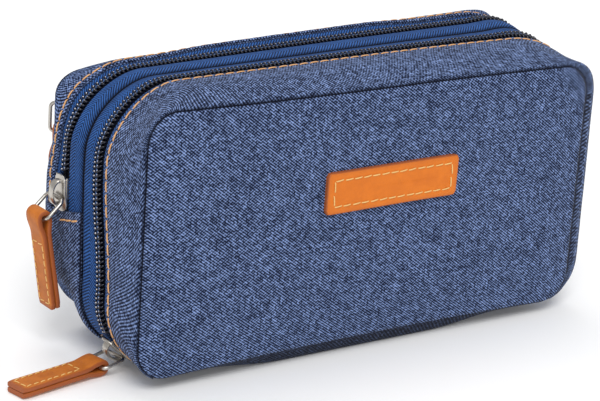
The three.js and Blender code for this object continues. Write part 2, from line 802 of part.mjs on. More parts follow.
/** A strip of elastic sewn down in between its loops, for pens and the lancing device. */
function penLoopGeometry() {
  const { count, innerWidth, innerDepth, height, land, centreX } = penLoops;
  const centreZ = middleZ + penLoops.aboveMiddle;
  const step = innerWidth + land;
  const width = count * step + land;
  const crownShare = 3 / 4;
  const arch = (from, to, foot, crown, halfHeight) => {
    const control = foot + (crown - foot) / crownShare;
    const shape = new THREE.Shape();
    shape.moveTo(from, -foot);
    shape.bezierCurveTo(from, -control, to, -control, to, -foot);
    return solid(prism(shape, -halfHeight, halfHeight, curveSteps.arch));
  };
  let body = solid(block([-width / 2, -sheet.elastic, -height / 2], [width / 2, 0, height / 2]));
  for (let i = 0; i < count; i++) {
    const from = land + i * step - width / 2;
    const to = from + innerWidth;
    const crown = innerDepth + sheet.elastic;
    const outer = arch(from - sheet.elastic, to + sheet.elastic, 0, crown, height / 2);
    body = body.add(outer).subtract(arch(from, to, sheet.elastic, innerDepth, height));
  }
  return geometryOf(body.translate([centreX, dividerFront, centreZ]));
}

/** The open slip pocket on the back of the divider. */
function slipPocketGeometry() {
  const halfWidth = shell.width / 2 - slipPocket.sideInset;
  return block(
    [-halfWidth, dividerBack, slipPocket.bottomInset],
    [halfWidth, dividerBack + sheet.lining, shell.height - slipPocket.fromTop],
  );
}

/** The layers of the back between two heights: cloth, and behind the pocket foam and lining. */
function rearLayers(which, fromZ, toZ) {
  const behindPocket = sheet.cloth + pocketDepth + gap.layer;
  const layers = [
    ["panel", { edge: 0, innerEdge: pillow.innerEdge, offset: 0, thickness: sheet.cloth }, denim],
    ["foam", { edge: padding.rearInset, offset: behindPocket, thickness: sheet.foam }, foam],
    ["lining", {
      edge: padding.rearInset, offset: behindPocket + sheet.foam + gap.layer, thickness: sheet.lining,
    }, liningCloth],
  ];
  return layers.map(([name, sizes, material]) => {
    const whole = panelLayer({ face: rearFace, ...sizes });
    return piece(`rear_${name}_${which}`, between(whole, fromZ, toZ), material);
  });
}

const pocketChainY = shell.rearDepth + pillowHeight(pillow.slope) + gap.layer - sheet.cloth
  - gap.seam - sheet.tape / 2;

/** The upper back: it folds down with the rear zip's outer half and carries the back pocket. */
function rearFlap() {
  const group = new THREE.Group();
  const fromQ = leftSectionAt(rearEndZ + gap.seam);
  const [panel, ...inner] = rearLayers("upper", rearEndZ, 2 * shell.height);
  const z = shell.height - pocketZip.fromTop;
  const halfLength = shell.width / 2 - pocketZip.endInset;
  const windowHalfLength = shell.width / 2 - pocketZip.windowInset;
  const reach = shell.width;
  const window = block(
    [-windowHalfLength, 0, z - zip.toFold],
    [windowHalfLength, reach, z + zip.toFold],
  );
  panel.geometry = geometryOf(solid(panel.geometry).subtract(solid(window)));
  const tapeReach = zip.toFold + zip.tapeUnderCloth;
  const tapeBlock = (from, to) => block(
    [-halfLength, pocketChainY - sheet.tape / 2, z + from],
    [halfLength, pocketChainY + sheet.tape / 2, z + to],
  );
  const chainFrom = pocketZip.sliderInset - shell.width / 2 + slider.length / 2 + gap.running;
  const pocketHalf = (side) => chainHalf({
    pathAt: (x) => new THREE.Vector3(x, pocketChainY, z),
    across: () => new THREE.Vector3(0, 0, 1),
    out: acrossY,
    from: chainFrom,
    to: halfLength,
    side,
  });
  group.add(
    panel,
    ...inner,
    piece("rear_upper_gusset", strip({
      fromY: rearFoldY, toY: shell.rearDepth, fromQ, toQ: mirrored(fromQ), inset: 0,
      thickness: sheet.cloth, steps: gussetSteps,
    }), denim),
    piece("rear_tape_flap", strip({
      fromY: rearZip.y + tapeEdge, toY: rearFoldY + zip.tapeUnderCloth / 2,
      fromQ: rearChainFrom, toQ: rearTapeTo, inset: tapeInset, thickness: sheet.tape,
    }), tape),
    piece("rear_coil_flap", roundChain(rearZipY, rearChainFrom, rearChainTo, 1), coil),
    piece("pocket_tape_upper", tapeBlock(tapeEdge, tapeReach), tape),
    piece("pocket_tape_lower", tapeBlock(-tapeReach, -tapeEdge), tape),
    piece("pocket_coil_upper", pocketHalf(1), coil),
    piece("pocket_coil_lower", pocketHalf(-1), coil),
  );
  return group;
}

/** The three sliders with their rings and pulls, where they rest in use. */
function zipPulls() {
  const frontQ = cornerSectionAt(frontZip.sliderAngle);
  const turn = THREE.MathUtils.degToRad(frontZip.sliderAngle);
  const rearQ = leftSectionAt(rearSliderZ);
  return [
    zipPull({
      prefix: "front",
      at: shellPoint(frontQ, frontZipY(frontQ), chainInset + arcSink / 2),
      along: new THREE.Vector3(-Math.cos(turn), 0, Math.sin(turn)),
      across: acrossY(),
      pose: frontPullPose,
    }),
    zipPull({
      prefix: "rear",
      at: shellPoint(rearQ, rearZip.y, chainInset),
      along: new THREE.Vector3(0, 0, 1),
      across: acrossY(),
      pose: rearPullPose,
    }),
    zipPull({
      prefix: "pocket",
      at: new THREE.Vector3(
        pocketZip.sliderInset - shell.width / 2,
        pocketChainY,
        shell.height - pocketZip.fromTop,
      ),
      along: new THREE.Vector3(1, 0, 0),
      across: new THREE.Vector3(0, 0, -1),
      pose: pocketPullPose,
      pullOnSide: true,
    }),
  ];
}

const meterCase = new THREE.Group();
meterCase.name = "glucose_meter_case";
meterCase.add(caseBody(), frontCover(), rearFlap(), ...zipPulls());

export default meterCase;
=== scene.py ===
"""Soft zipped case for a blood glucose meter, modelled and dressed around its CAD frame.

Lengths are in millimetres in the code and become metres when a mesh is made. The case's front
faces -Y, its zips close at the left end, -X, and +Z is up.
"""

import logging
import math
import random
from dataclasses import dataclass, field
from enum import Enum
from typing import Callable, Optional, Sequence, Union

import bpy
import numpy as np
from mathutils import Matrix, Vector, noise


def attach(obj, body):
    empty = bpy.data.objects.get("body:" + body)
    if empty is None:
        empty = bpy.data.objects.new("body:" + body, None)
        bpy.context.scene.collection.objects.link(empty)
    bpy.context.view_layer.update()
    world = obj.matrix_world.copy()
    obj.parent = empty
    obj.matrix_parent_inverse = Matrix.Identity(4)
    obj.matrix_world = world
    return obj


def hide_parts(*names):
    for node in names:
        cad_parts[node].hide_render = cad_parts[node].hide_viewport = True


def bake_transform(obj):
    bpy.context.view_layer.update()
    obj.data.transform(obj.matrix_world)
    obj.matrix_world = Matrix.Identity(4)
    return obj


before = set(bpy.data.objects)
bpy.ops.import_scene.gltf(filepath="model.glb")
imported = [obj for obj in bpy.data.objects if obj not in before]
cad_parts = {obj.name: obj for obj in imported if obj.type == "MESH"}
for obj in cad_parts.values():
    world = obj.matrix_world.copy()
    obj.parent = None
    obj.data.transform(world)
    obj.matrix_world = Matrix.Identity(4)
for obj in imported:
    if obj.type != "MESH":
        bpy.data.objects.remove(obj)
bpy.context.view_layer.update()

logging.basicConfig(level=logging.INFO, format="%(message)s")
log = logging.getLogger("case")

MM = 0.001

# How near two points of a mesh are, in metres, to be merged as doubles.
SAME_POINT = 2e-6
SAME_CAD_POINT = 1e-5

Number = Union[int, float]
AtSection = Union[Number, Callable[[float], float]]


# The case's outline


@dataclass(frozen=True)
class Face:
    """How a face's seam is drawn in from the widest outline of the case."""

    side: float
    bottom: float
    top: float
    radius: float
    taper: float


@dataclass(frozen=True)
class Outline:
    """The rounded rectangle that the case fills at one depth."""

    half_width: float
    bottom: float
    top: float
    radius: float


@dataclass(frozen=True)
class Shell:
    """The driving sizes of the whole case and the maths of its outline."""

    width: float = 188.0
    height: float = 99.0
    front: float = -29.0
    rear: float = 32.0
    radius: float = 26.0
    crown: float = 1.0
    front_face: Face = Face(side=1.7, bottom=4.0, top=4.6, radius=11.6, taper=16.0)
    rear_face: Face = Face(side=1.2, bottom=3.5, top=2.6, radius=12.0, taper=4.0)
    sections: int = 9

    def outline(self, y: float) -> Outline:
        """The outline at one depth.

        Args:
            y: The depth.

        Returns:
            The outline there.
        """
        face = self.front_face if y < 0 else self.rear_face
        to_seam = y - self.front if y < 0 else self.rear - y
        share = math.sin(math.pi / 2 * min(max(to_seam / face.taper, 0.0), 1.0))
        return Outline(
            self.width / 2 - face.side * (1 - share),
            face.bottom * (1 - share),
            self.height - face.top * (1 - share),
            face.radius + (self.radius - face.radius) * share,
        )

    def on_outline(self, outline: Outline, q: float, inset: float) -> tuple[float, float]:
        """A point of an outline that is drawn in by an inset.

        Args:
            outline: The outline.
            q: The section, from 0 in the middle of the bottom, over the left end, to 9.
            inset: How far inside the outline the point lies.

        Returns:
            The point as x and z.
        """
        s = q % self.sections
        if s > self.sections / 2:
            x, z = self.on_outline(outline, self.sections - s, inset)
            return -x, z
        half = outline.half_width - inset
        bottom, top = outline.bottom + inset, outline.top - inset
        radius = max(outline.radius - inset, 0.5)
        corner = half - radius
        whole = int(s)
        part = s - whole
        turn = part * math.pi / 2
        if whole == 0:
            return -corner * part, bottom
        if whole == 1:
            return -corner - radius * math.sin(turn), bottom + radius * (1 - math.cos(turn))
        if whole == 2:
            return -half, bottom + radius + (top - bottom - 2 * radius) * part
        if whole == 3:
            return -corner - radius * math.cos(turn), top - radius * (1 - math.sin(turn))
        across = 2 * part - 1
        return corner * across, top + self.crown * (1 - across * across)

    def point(self, q: float, y: float, inset: float = 0.0) -> Vector:
        """The point of the case's skin at a section and a depth."""
        x, z = self.on_outline(self.outline(y), q, inset)
        return Vector((x, y, z))

    def outward(self, q: float, y: float) -> Vector:
        """The way out of the case, square to its outline."""
        return (self.point(q, y) - self.point(q, y, 1.5)).normalized()

    def left_section(self, z: float) -> float:
        """The section on the left end at one height."""
        return 2 + (z - self.radius) / (self.height - 2 * self.radius)

    def corner_section(self, degrees: float) -> float:
        """The section on the lower left corner at an angle from the bottom."""
        return 1 + degrees / 90

    def mirrored(self, q: float) -> float:
        """The same place on the other end."""
        return self.sections - q

    def walk(self, start: float, end: float, step: float) -> list[float]:
        """Sections that are evenly spaced along the outline.

        Args:
            start: The first section.
            end: The last section.
            step: The wished distance between them.

        Returns:
            The sections, both ends included.
        """
        fine = np.linspace(start, end, int((end - start) * 60) + 2)
        points = np.array([self.point(q, 0.0)[:] for q in fine])
        far = np.concatenate([[0], np.cumsum(np.linalg.norm(np.diff(points, axis=0), axis=1))])
        count = max(round(far[-1] / step), 2)
        return list(np.interp(np.linspace(0, far[-1], count + 1), far, fine))


SHELL = Shell()


@dataclass(frozen=True)
class Layout:
    """Where the zips, folds and layers of the case lie."""

    front_zip: float = 0.3
    end_drift: float = 5.6
    rear_zip: float = 19.6
    middle: float = 7.3
    front_fold: float = 5.9
    rear_fold: float = 5.8
    rear_end: float = 48.5
    rear_stop: float = 9.0
    rear_slider: float = 55.2
    pocket_zip: float = 77.0
    pocket_y: float = 32.41
    pocket_slider: float = -82.0
    tape_inset: float = 1.2
    tape_thick: float = 0.5
    tape_gap: float = 0.35
    chain_shade: float = 3.0
    chain_inset: float = 1.5
    cover_angle: float = 24.0
    far_angle: float = 30.0
    slider_angle: float = 42.0
    slider_half: float = 6.25
    running_gap: float = 0.4

    def front_zip_y(self, q: float) -> float:
        """The depth of the front zip, which drifts forward on its way down either end.

        Args:
            q: The section.

        Returns:
            The depth there.
        """
        from_end = min(q, SHELL.sections - q)
        drift = self.end_drift * (1 - smooth(2, 3, from_end))
        return self.front_zip - drift - 0.7 * bell(from_end, 3.35, 0.5)

    def middle_y(self, q: float) -> float:
        """The depth of the fold between the tapes, which swings back round the upper left."""
        return self.middle + 1.5 * bell(min(q, SHELL.sections - q), 3.3, 0.6)

    def slider_clear(self) -> float:
        """How far from a slider's middle its chain begins."""
        return self.slider_half + self.running_gap


LAYOUT = Layout()


@dataclass(frozen=True)
class Pillow:
    """How a padded panel stands out of its seam."""

    height: float = 2.6
    rise: float = 1.2
    shoulder: float = 2.0
    flat: float = 23.0

    def at(self, inset: float) -> float:
        """The height at a distance from the edge.

        Args:
            inset: The distance.

        Returns:
            The height there.
        """
        if inset < self.shoulder:
            return self.rise * math.sin(max(inset, 0) / self.shoulder * math.pi / 2)
        share = min((inset - self.shoulder) / (self.flat - self.shoulder), 1)
        return self.rise + (self.height - self.rise) * math.sin(share * math.pi / 2)


PILLOW = Pillow()


def ripple(point: Vector, scale: float, amount: float, seed: float = 0.0) -> float:
    """Smooth uneven relief, for cloth that is never quite flat.

    Args:
        point: The place.
        scale: The size of its waves.
        amount: Its greatest height.
        seed: Moves the pattern, so that pieces differ.

    Returns:
        The height there.
    """
    return amount * noise.noise(point / scale + Vector((seed, seed, seed)))


def smooth(low: float, high: float, value: float) -> float:
    """0 on low's side, 1 on high's side, and a smooth step between them."""
    t = min(max((value - low) / (high - low), 0.0), 1.0)
    return t * t * (3 - 2 * t)


def bell(value: float, centre: float, width: float) -> float:
    """1 at the centre, falling away smoothly over the width on both sides."""
    return math.exp(-(((value - centre) / width) ** 2))


def hump(share: float) -> float:
    """A half wave: 1 in the middle and 0 at both ends."""
    return math.sin(math.pi * min(max(share, 0), 1))


@dataclass(frozen=True)
class Spot:
    """A slider, which the case keeps to, and how far it stands out of true with it."""

    at: tuple[float, float, float]
    reach: float
    moved: tuple[float, float, float] = (0.0, 0.0, 0.0)


@dataclass(frozen=True)
class Slump:
    """How the soft case stands out of true: one field that moves every soft piece alike."""

    shift: float = 3.1
    spread: float = 1.66
    twist: float = 2.4
    rear_drop: float = 0.62
    front_sag: float = 1.06
    rear_sag: float = 1.42
    left_lift: float = 2.2
    right_drop: float = 1.0
    bottom_arch: float = 1.6
    square_corner: float = 4.6
    soft_corner: float = 1.0
    left_foot: float = 6.0
    right_roll: float = 4.6
    right_tuck: float = 1.0
    right_hood: float = 1.6
    left_shoulder: float = 1.8
    keel: float = 0.92
    rear_lip: float = 1.2
    rear_roll: float = 2.6
    spots: tuple[Spot, ...] = (
        Spot((-94.0, 19.6, 55.0), 13.0), Spot((-84.0, -5.0, 8.0), 12.0),
        Spot((-82.0, 34.0, 77.0), 7.0, (3.0, 0.0, -0.8)),
    )

    def corners(self, p: Vector, back: float) -> Vector:
        """The top corners, square at the right and soft at the left, and the lower left one.

        Args:
            p: The place in the true form.
            back: How far back it lies, from 0 to 1.

        Returns:
            How far it moves.
        """
        way = Vector((max(abs(p.x) - 68, 0), 0, max(p.z - 73, 0)))
        reach = way.length
        push = Vector()
        if reach > 0:
            turn = math.sin(2 * math.atan2(way.z, way.x)) ** 2
            push = way / reach * turn * min(reach / 26, 1) ** 2
        if p.x > 0:
            push *= self.square_corner * smooth(0.15, 0.6, back)
            push *= 1 - 0.7 * smooth(0.78, 0.98, back)
        else:
            push = Vector((push.x, 0, -push.z)) * self.soft_corner * smooth(0.05, 0.3, back)
            push *= 1 - 0.6 * smooth(0.6, 0.95, back)
        left = smooth(-58, -90, p.x) * smooth(0.5, 0.95, back)
        foot = self.left_foot * left * smooth(34, 8, p.z)
        shoulder = smooth(-78, -92, p.x) * smooth(0.55, 0.95, back) * smooth(58, 70, p.z)
        return push + Vector((foot - self.left_shoulder * shoulder, 0, foot * 0.8))

    def rolls(self, p: Vector) -> Vector:
        """The right end swells behind its seam, and the rear edge rolls over along the top.

        Args:
            p: The place in the true form.

        Returns:
            How far it moves.
        """
        behind = smooth(-29.1, -26.8, p.y)
        swell = smooth(78, 92, p.x) * behind * (1 - 0.75 * smooth(-18, 4, p.y))
        tuck = self.right_tuck * smooth(70, 92, p.x) * (1 - behind)
        hood = self.right_hood * swell * smooth(76, 92, p.z)
        top = smooth(84, 96, p.z) * smooth(58, 32, abs(p.x + 4))
        lip = self.rear_lip * smooth(19, 25, p.y) - self.rear_roll * smooth(25.6, 29.5, p.y)
        return Vector((self.right_roll * swell - tuck, 0, lip * top + hood))

    def free(self, p: Vector) -> Vector:
        """How far a point moves where no slider holds the case.

        Args:
            p: The place in the true form.

        Returns:
            How far it moves.
        """
        back = min(max((p.y - SHELL.front) / (SHELL.rear - SHELL.front), 0), 1)
        side = p.x / (SHELL.width / 2)
        left, right = max(-side, 0), max(side, 0)
        up = min(max((p.z - 50) / 49, 0), 1)
        low = min(max(p.z / 50, 0), 1)
        dx = (self.shift * back + self.spread * back * side) * low
        dz = self.twist * back * side * low - self.rear_drop * back * up
        dz -= up * (self.front_sag * (1 - back) + self.rear_sag * back) * (1 - side * side)
        dz += up * self.left_lift * left * left * (1 - back) ** 2
        dz -= up * self.right_drop * right * right * (1 - back)
        seam = p.y - SHELL.front
        keel = smooth(0.3, 4.5, seam) * smooth(9, 3, p.z) * smooth(70, 32, abs(p.x))
        near = (1 - smooth(2, 12, seam)) * (1 - smooth(0, 22, p.z)) * (1 - keel)
        dz += self.bottom_arch * near * max(1 - side * side * 1.2, 0)
        if p.y < 0:
            dz -= self.keel * keel * SHELL.outline(p.y).bottom
        return Vector((dx, 0, dz)) + self.corners(p, back) + self.rolls(p)

    def moved(self, p: Vector) -> Vector:
        """Where a point of the true form goes.

        Args:
            p: The place in the true form.

        Returns:
            The place in the soft form.
        """
        way = self.free(p)
        for spot in self.spots:
            far = smooth(spot.reach, spot.reach + 16, (p - Vector(spot.at)).length)
            way = way * far + Vector(spot.moved) * (1 - far)
        return p + way


SLUMP = Slump()


# Mesh tools


def select_only(*objects: bpy.types.Object) -> None:
    """Selects these objects alone, the first of them active.

    Args:
        objects: The objects, whose first becomes the active one.
    """
    bpy.ops.object.select_all(action="DESELECT")
    for thing in objects:
        thing.select_set(True)
    bpy.context.view_layer.objects.active = objects[0]


def apply_modifiers(thing: bpy.types.Object) -> None:
    """Applies every modifier of an object in order.

    Args:
        thing: The object.
    """
    select_only(thing)
    for modifier in list(thing.modifiers):
        bpy.ops.object.modifier_apply(modifier=modifier.name)


def shade(thing: bpy.types.Object, degrees: float = 40.0) -> None:
    """Smooth shading with edges sharper than an angle kept."""
    select_only(thing)
    bpy.ops.object.shade_smooth_by_angle(angle=math.radians(degrees))


def edit(thing: bpy.types.Object, *steps: Callable[[], object]) -> None:
    """Runs steps of mesh editing, each on the whole mesh.

    Args:
        thing: The object.
        steps: The steps in order, which act on what is selected.
    """
    select_only(thing)
    bpy.ops.object.mode_set(mode="EDIT")
    for step in steps:
        bpy.ops.mesh.select_all(action="SELECT")
        step()
    bpy.ops.object.mode_set(mode="OBJECT")


def outwards() -> None:
    """Turns the selected faces outwards."""
    bpy.ops.mesh.normals_make_consistent(inside=False)


def close(thing: bpy.types.Object) -> None:
    """Merges doubles, fills open ends and turns the faces outwards.

    Args:
        thing: The object.
    """
    edit(
        thing,
        lambda: bpy.ops.mesh.remove_doubles(threshold=SAME_POINT),
        lambda: bpy.ops.mesh.fill_holes(sides=0),
        outwards,
    )


def set_marks(mesh: bpy.types.Mesh, values: Sequence[float]) -> None:
    """Gives each point of a mesh its mark, which picks its colour."""
    attribute = mesh.attributes.new("mark", "FLOAT", "POINT")
    attribute.data.foreach_set("value", np.array(values, dtype=np.float32))


def oval(centre: Vector, wide: Vector, high: Vector, sides: int = 6) -> list[Vector]:
    """The corners of an oval round its centre, from its two half axes."""
    turns = (2 * math.pi * k / sides for k in range(sides))
    return [centre + math.cos(turn) * wide + math.sin(turn) * high for turn in turns]


def loft(
    name: str,
    rings: Sequence[Sequence[Vector]],
    wrapped: bool = True,
    looped: bool = False,
    flat_uv: bool = False,
    angle: float = 40.0,
    marks: Optional[Sequence[Sequence[float]]] = None,
) -> bpy.types.Object:
    """A skin over rings of points, from a grid that is moved into place.

    Args:
        name: The piece's name.
        rings: The cross-sections in order, in millimetres.
        wrapped: Each cross-section closes on itself.
        looped: The last cross-section joins the first.
        flat_uv: The cloth pattern is laid on from the front, and else follows the strip.
        angle: Edges sharper than this stay sharp.
        marks: The mark attribute of each point, which paints shade into seams, folds and creases.

    Returns:
        The closed mesh object, with its pattern map in metres.
    """
    rows = [list(ring) + ([ring[0]] if wrapped else []) for ring in rings]
    if looped:
        rows.append(rows[0])
    width, length = len(rows[0]), len(rows)
    places = np.array([[p[:] for p in row] for row in rows]) * MM
    bpy.ops.object.select_all(action="DESELECT")
    bpy.ops.mesh.primitive_grid_add(x_subdivisions=width - 1, y_subdivisions=length - 1, size=1)
    thing = bpy.context.object
    thing.name = name
    mesh = thing.data
    mesh.vertices.foreach_set("co", places.reshape(-1))
    if flat_uv:
        uv = places[:, :, [0, 2]]
    else:
        along = np.linalg.norm(np.diff(places, axis=0), axis=2).mean(axis=1)
        across = np.linalg.norm(np.diff(places, axis=1), axis=2).mean(axis=0)
        uv = np.zeros((length, width, 2))
        uv[:, :, 0] = np.concatenate([[0], np.cumsum(along)])[:, None]
        uv[:, :, 1] = np.concatenate([[0], np.cumsum(across)])[None, :]
    corner = np.zeros(len(mesh.loops), dtype=np.int32)
    mesh.loops.foreach_get("vertex_index", corner)
    layer = mesh.uv_layers[0] if mesh.uv_layers else mesh.uv_layers.new()
    layer.name = "cloth"
    layer.data.foreach_set("uv", uv.reshape(-1, 2)[corner].reshape(-1))
    if marks is not None:
        values = [list(row) + ([row[0]] if wrapped else []) for row in marks]
        if looped:
            values.append(values[0])
        set_marks(mesh, [value for row in values for value in row])
    mesh.update()
    close(thing)
    shade(thing, angle)
    return thing


def joined(name: str, pieces: Sequence[bpy.types.Object]) -> bpy.types.Object:
    """One object from several.

    Args:
        name: The name of the whole.
        pieces: The objects, which become one.

    Returns:
        The whole.
    """
    select_only(*pieces)
    bpy.ops.object.join()
    whole = bpy.context.object
    whole.name = name
    return whole


def tube(
    path: Sequence[Vector],
    radius: float,
    sides: int = 6,
    closed: bool = False,
    crest: Optional[Vector] = None,
) -> list[list[Vector]]:
    """The cross-sections of a round wire along a path.

    Args:
        path: The points of its middle line.
        radius: The wire's radius.
        sides: The corners of a cross-section.
        closed: The path is a loop.
        crest: The way that the first corner of each cross-section looks.

    Returns:
        One ring of points for each point of the path.
    """
    count = len(path)
    rings: list[list[Vector]] = []
    across = None
    for i, point in enumerate(path):
        ahead = path[(i + 1) % count] if closed or i < count - 1 else point
        behind = path[i - 1] if closed or i > 0 else point
        along = (ahead - behind).normalized()
        if across is None:
            across = along.orthogonal() if crest is None else crest
        across = (across - along * across.dot(along)).normalized()
        up = along.cross(across)
        rings.append(oval(point, radius * across, radius * up, sides))
    return rings


class Bundle:
    """Many small like bodies in one mesh, each from a few rings of points."""

    def __init__(self, name: str) -> None:
        """An empty bundle.

        Args:
            name: The name of the mesh object.
        """
        self.name = name
        self.points: list[Vector] = []
        self.faces: list[tuple[int, ...]] = []
        self.marks: list[float] = []

    def add(self, rings: Sequence[Sequence[Vector]], mark: float = 0.0) -> None:
        """Adds one closed body.

        Args:
            rings: Its cross-sections; both ends get a cap.
            mark: The value of the piece's mark attribute on it, which picks its colour.
        """
        start, size = len(self.points), len(rings[0])
        for ring in rings:
            self.points.extend(ring)
        for i in range(len(rings) - 1):
            for j in range(size):
                k = (j + 1) % size
                a, b = start + i * size, start + (i + 1) * size
                self.faces.append((a + j, a + k, b + k, b + j))
        last = start + (len(rings) - 1) * size
        self.faces.append(tuple(start + j for j in reversed(range(size))))
        self.faces.append(tuple(last + j for j in range(size)))
        self.marks.extend([mark] * (size * len(rings)))

    def extend(self, other: "Bundle") -> None:
        """Adds all that another bundle holds.

        Args:
            other: The other bundle.
        """
        start = len(self.points)
        self.points += other.points
        self.faces += [tuple(start + i for i in face) for face in other.faces]
        self.marks += other.marks

    def touch(self, back: int, mark: float) -> None:
        """Gives one point of the last body its own mark, counted from the end."""
        self.marks[-back] = mark

    def build(self) -> bpy.types.Object:
        """The bundle as one mesh object.

        Returns:
            The object.
        """
        mesh = bpy.data.meshes.new(self.name)
        mesh.from_pydata([(p * MM)[:] for p in self.points], [], self.faces)
        set_marks(mesh, self.marks)
        thing = bpy.data.objects.new(self.name, mesh)
        bpy.context.collection.objects.link(thing)
        edit(thing, outwards)
        shade(thing, 60)
        return thing


# Finishes


class Value:
    """A shader socket that Python's operators work on."""

    def __init__(self, shader: "Nodes", socket: bpy.types.NodeSocket) -> None:
        """Wraps an output socket of a shader's node."""
        self.shader = shader
        self.socket = socket

    def __add__(self, other: "Term") -> "Value":
        """The sum."""
        return self.shader.math("ADD", self, other)

    __radd__ = __add__

    def __sub__(self, other: "Term") -> "Value":
        """The difference."""
        return self.shader.math("SUBTRACT", self, other)

    def __rsub__(self, other: "Term") -> "Value":
        """The difference from a number."""
        return self.shader.math("SUBTRACT", other, self)

    def __mul__(self, other: "Term") -> "Value":
        """The product."""
        return self.shader.math("MULTIPLY", self, other)

    __rmul__ = __mul__

    def __truediv__(self, other: "Term") -> "Value":
        """The quotient."""
        return self.shader.math("DIVIDE", self, other)

    def __rtruediv__(self, other: "Term") -> "Value":
        """The quotient of a number."""
        return self.shader.math("DIVIDE", other, self)

    def step(self, low: float, high: float) -> "Value":
        """0 below low, 1 above high, and smooth between them.

        Args:
            low: Where it begins to rise.
            high: Where it comes to 1.

        Returns:
            The new value.
        """
        settings = {"interpolation_type": "SMOOTHSTEP"}
        inputs = {0: self, 1: low, 2: high}
        return self.shader.node("ShaderNodeMapRange", settings, inputs)


Term = Union[Value, Number]
Colour = tuple[float, float, float]


class Nodes:
    """A node tree that is built from Python expressions."""

    def __init__(self, tree: bpy.types.NodeTree) -> None:
        """Takes over a tree and empties it."""
        self.tree = tree
        self.tree.nodes.clear()

    def put(self, socket: bpy.types.NodeSocket, term: object) -> None:
        """Links a value into a socket, or sets it there.

        Args:
            socket: The input socket.
            term: The value or setting.
        """
        if isinstance(term, Value):
            self.tree.links.new(term.socket, socket)
        else:
            socket.default_value = term

    def node(
        self,
        kind: str,
        settings: dict[str, object],
        inputs: dict[object, object],
        output: object = 0,
    ) -> Optional[Value]:
        """Any node.

        Args:
            kind: Its type.
            settings: Its own settings, which are set first.
            inputs: The values or links of its sockets, by name or number.
            output: The socket that is wanted.

        Returns:
            That output, where the node has any.
        """
        made = self.tree.nodes.new(kind)
        for key, setting in settings.items():
            setattr(made, key, setting)
        for key, term in inputs.items():
            self.put(made.inputs[key], term)
        return Value(self, made.outputs[output]) if made.outputs else None

    def math(self, operation: str, a: Term, b: Term = 0.0) -> Value:
        """A Math node."""
        return self.node("ShaderNodeMath", {"operation": operation}, {0: a, 1: b})


class Shader(Nodes):
    """A material: its patterns and its surface."""

    def __init__(self, name: str) -> None:
        """An empty material with one Principled surface.

        Args:
            name: The material's name.
        """
        self.material = bpy.data.materials.new(name)
        self.material.use_nodes = True
        super().__init__(self.material.node_tree)
        surface = self.node("ShaderNodeBsdfPrincipled", {}, {})
        self.surface = surface.socket.node
        self.node("ShaderNodeOutputMaterial", {}, {0: surface})

    def vector(self, operation: str, a: object, b: object) -> Value:
        """A Vector Math node."""
        return self.node("ShaderNodeVectorMath", {"operation": operation}, {0: a, 1: b})

    def mix(self, factor: Term, a: object, b: object) -> Value:
        """A colour between two colours.

        Args:
            factor: 0 for the first colour, 1 for the second.
            a: The first colour.
            b: The second colour.

        Returns:
            The mixed colour.
        """
        settings = {"data_type": "RGBA", "clamp_factor": True}
        colours = [(*c, 1.0) if isinstance(c, tuple) else c for c in (a, b)]
        return self.node("ShaderNodeMix", settings, {0: factor, 6: colours[0], 7: colours[1]}, 2)

    def noise(self, place: Value, scale: float, detail: float = 2.0, rough: float = 0.5) -> Value:
        """Smooth noise from 0 to 1."""
        inputs = {"Vector": place, "Scale": scale, "Detail": detail, "Roughness": rough}
        return self.node("ShaderNodeTexNoise", {}, inputs)

    def random(self, a: Term, b: Term, c: Term) -> Value:
        """A random value from 0 to 1 for each three whole numbers."""
        cell = self.node("ShaderNodeCombineXYZ", {}, {0: a, 1: b, 2: c})
        return self.node("ShaderNodeTexWhiteNoise", {}, {"Vector": cell})

    def part(self, place: Value, axis: str) -> Value:
        """One number of a vector."""
        return self.node("ShaderNodeSeparateXYZ", {}, {0: place}, axis)

    def map(self) -> tuple[Value, Value, Value]:
        """The piece's own pattern map in millimetres: the vector, along and across.

        Returns:
            The place, and how far along and across it is.
        """
        raw = self.node("ShaderNodeUVMap", {"uv_map": "cloth"}, {})
        place = self.vector("MULTIPLY", raw, (1 / MM, 1 / MM, 0.0))
        return place, self.part(place, "X"), self.part(place, "Y")

    def space(self) -> Value:
        """The place on the object in millimetres."""
        raw = self.node("ShaderNodeTexCoord", {}, {}, "Object")
        return self.vector("MULTIPLY", raw, (1 / MM, 1 / MM, 1 / MM))

    def mark(self) -> Value:
        """The piece's mark attribute, which picks its colour."""
        settings = {"attribute_type": "GEOMETRY", "attribute_name": "mark"}
        return self.node("ShaderNodeAttribute", settings, {}, "Fac")

    def finish(
        self,
        colour: object,
        rough: Term,
        relief: Optional[Value] = None,
        depth: float = 0.1,
        **constants: object,
    ) -> bpy.types.Material:
        """Connects the surface.

        Args:
            colour: Its base colour.
            rough: Its roughness.
            relief: A height from 0 to 1, for the bump.
            depth: The relief's depth in millimetres.
            constants: Other sockets of the surface, with spaces as underscores.

        Returns:
            The material.
        """
        opaque = (*colour, 1.0) if isinstance(colour, tuple) else colour
        self.put(self.surface.inputs["Base Color"], opaque)
        self.put(self.surface.inputs["Roughness"], rough)
        if relief is not None:
            inputs = {"Strength": 1.0, "Distance": depth * MM, "Height": relief}
            self.put(self.surface.inputs["Normal"], self.node("ShaderNodeBump", {}, inputs))
        for key, setting in constants.items():
            self.surface.inputs[key.replace("_", " ")].default_value = setting
        return self.material


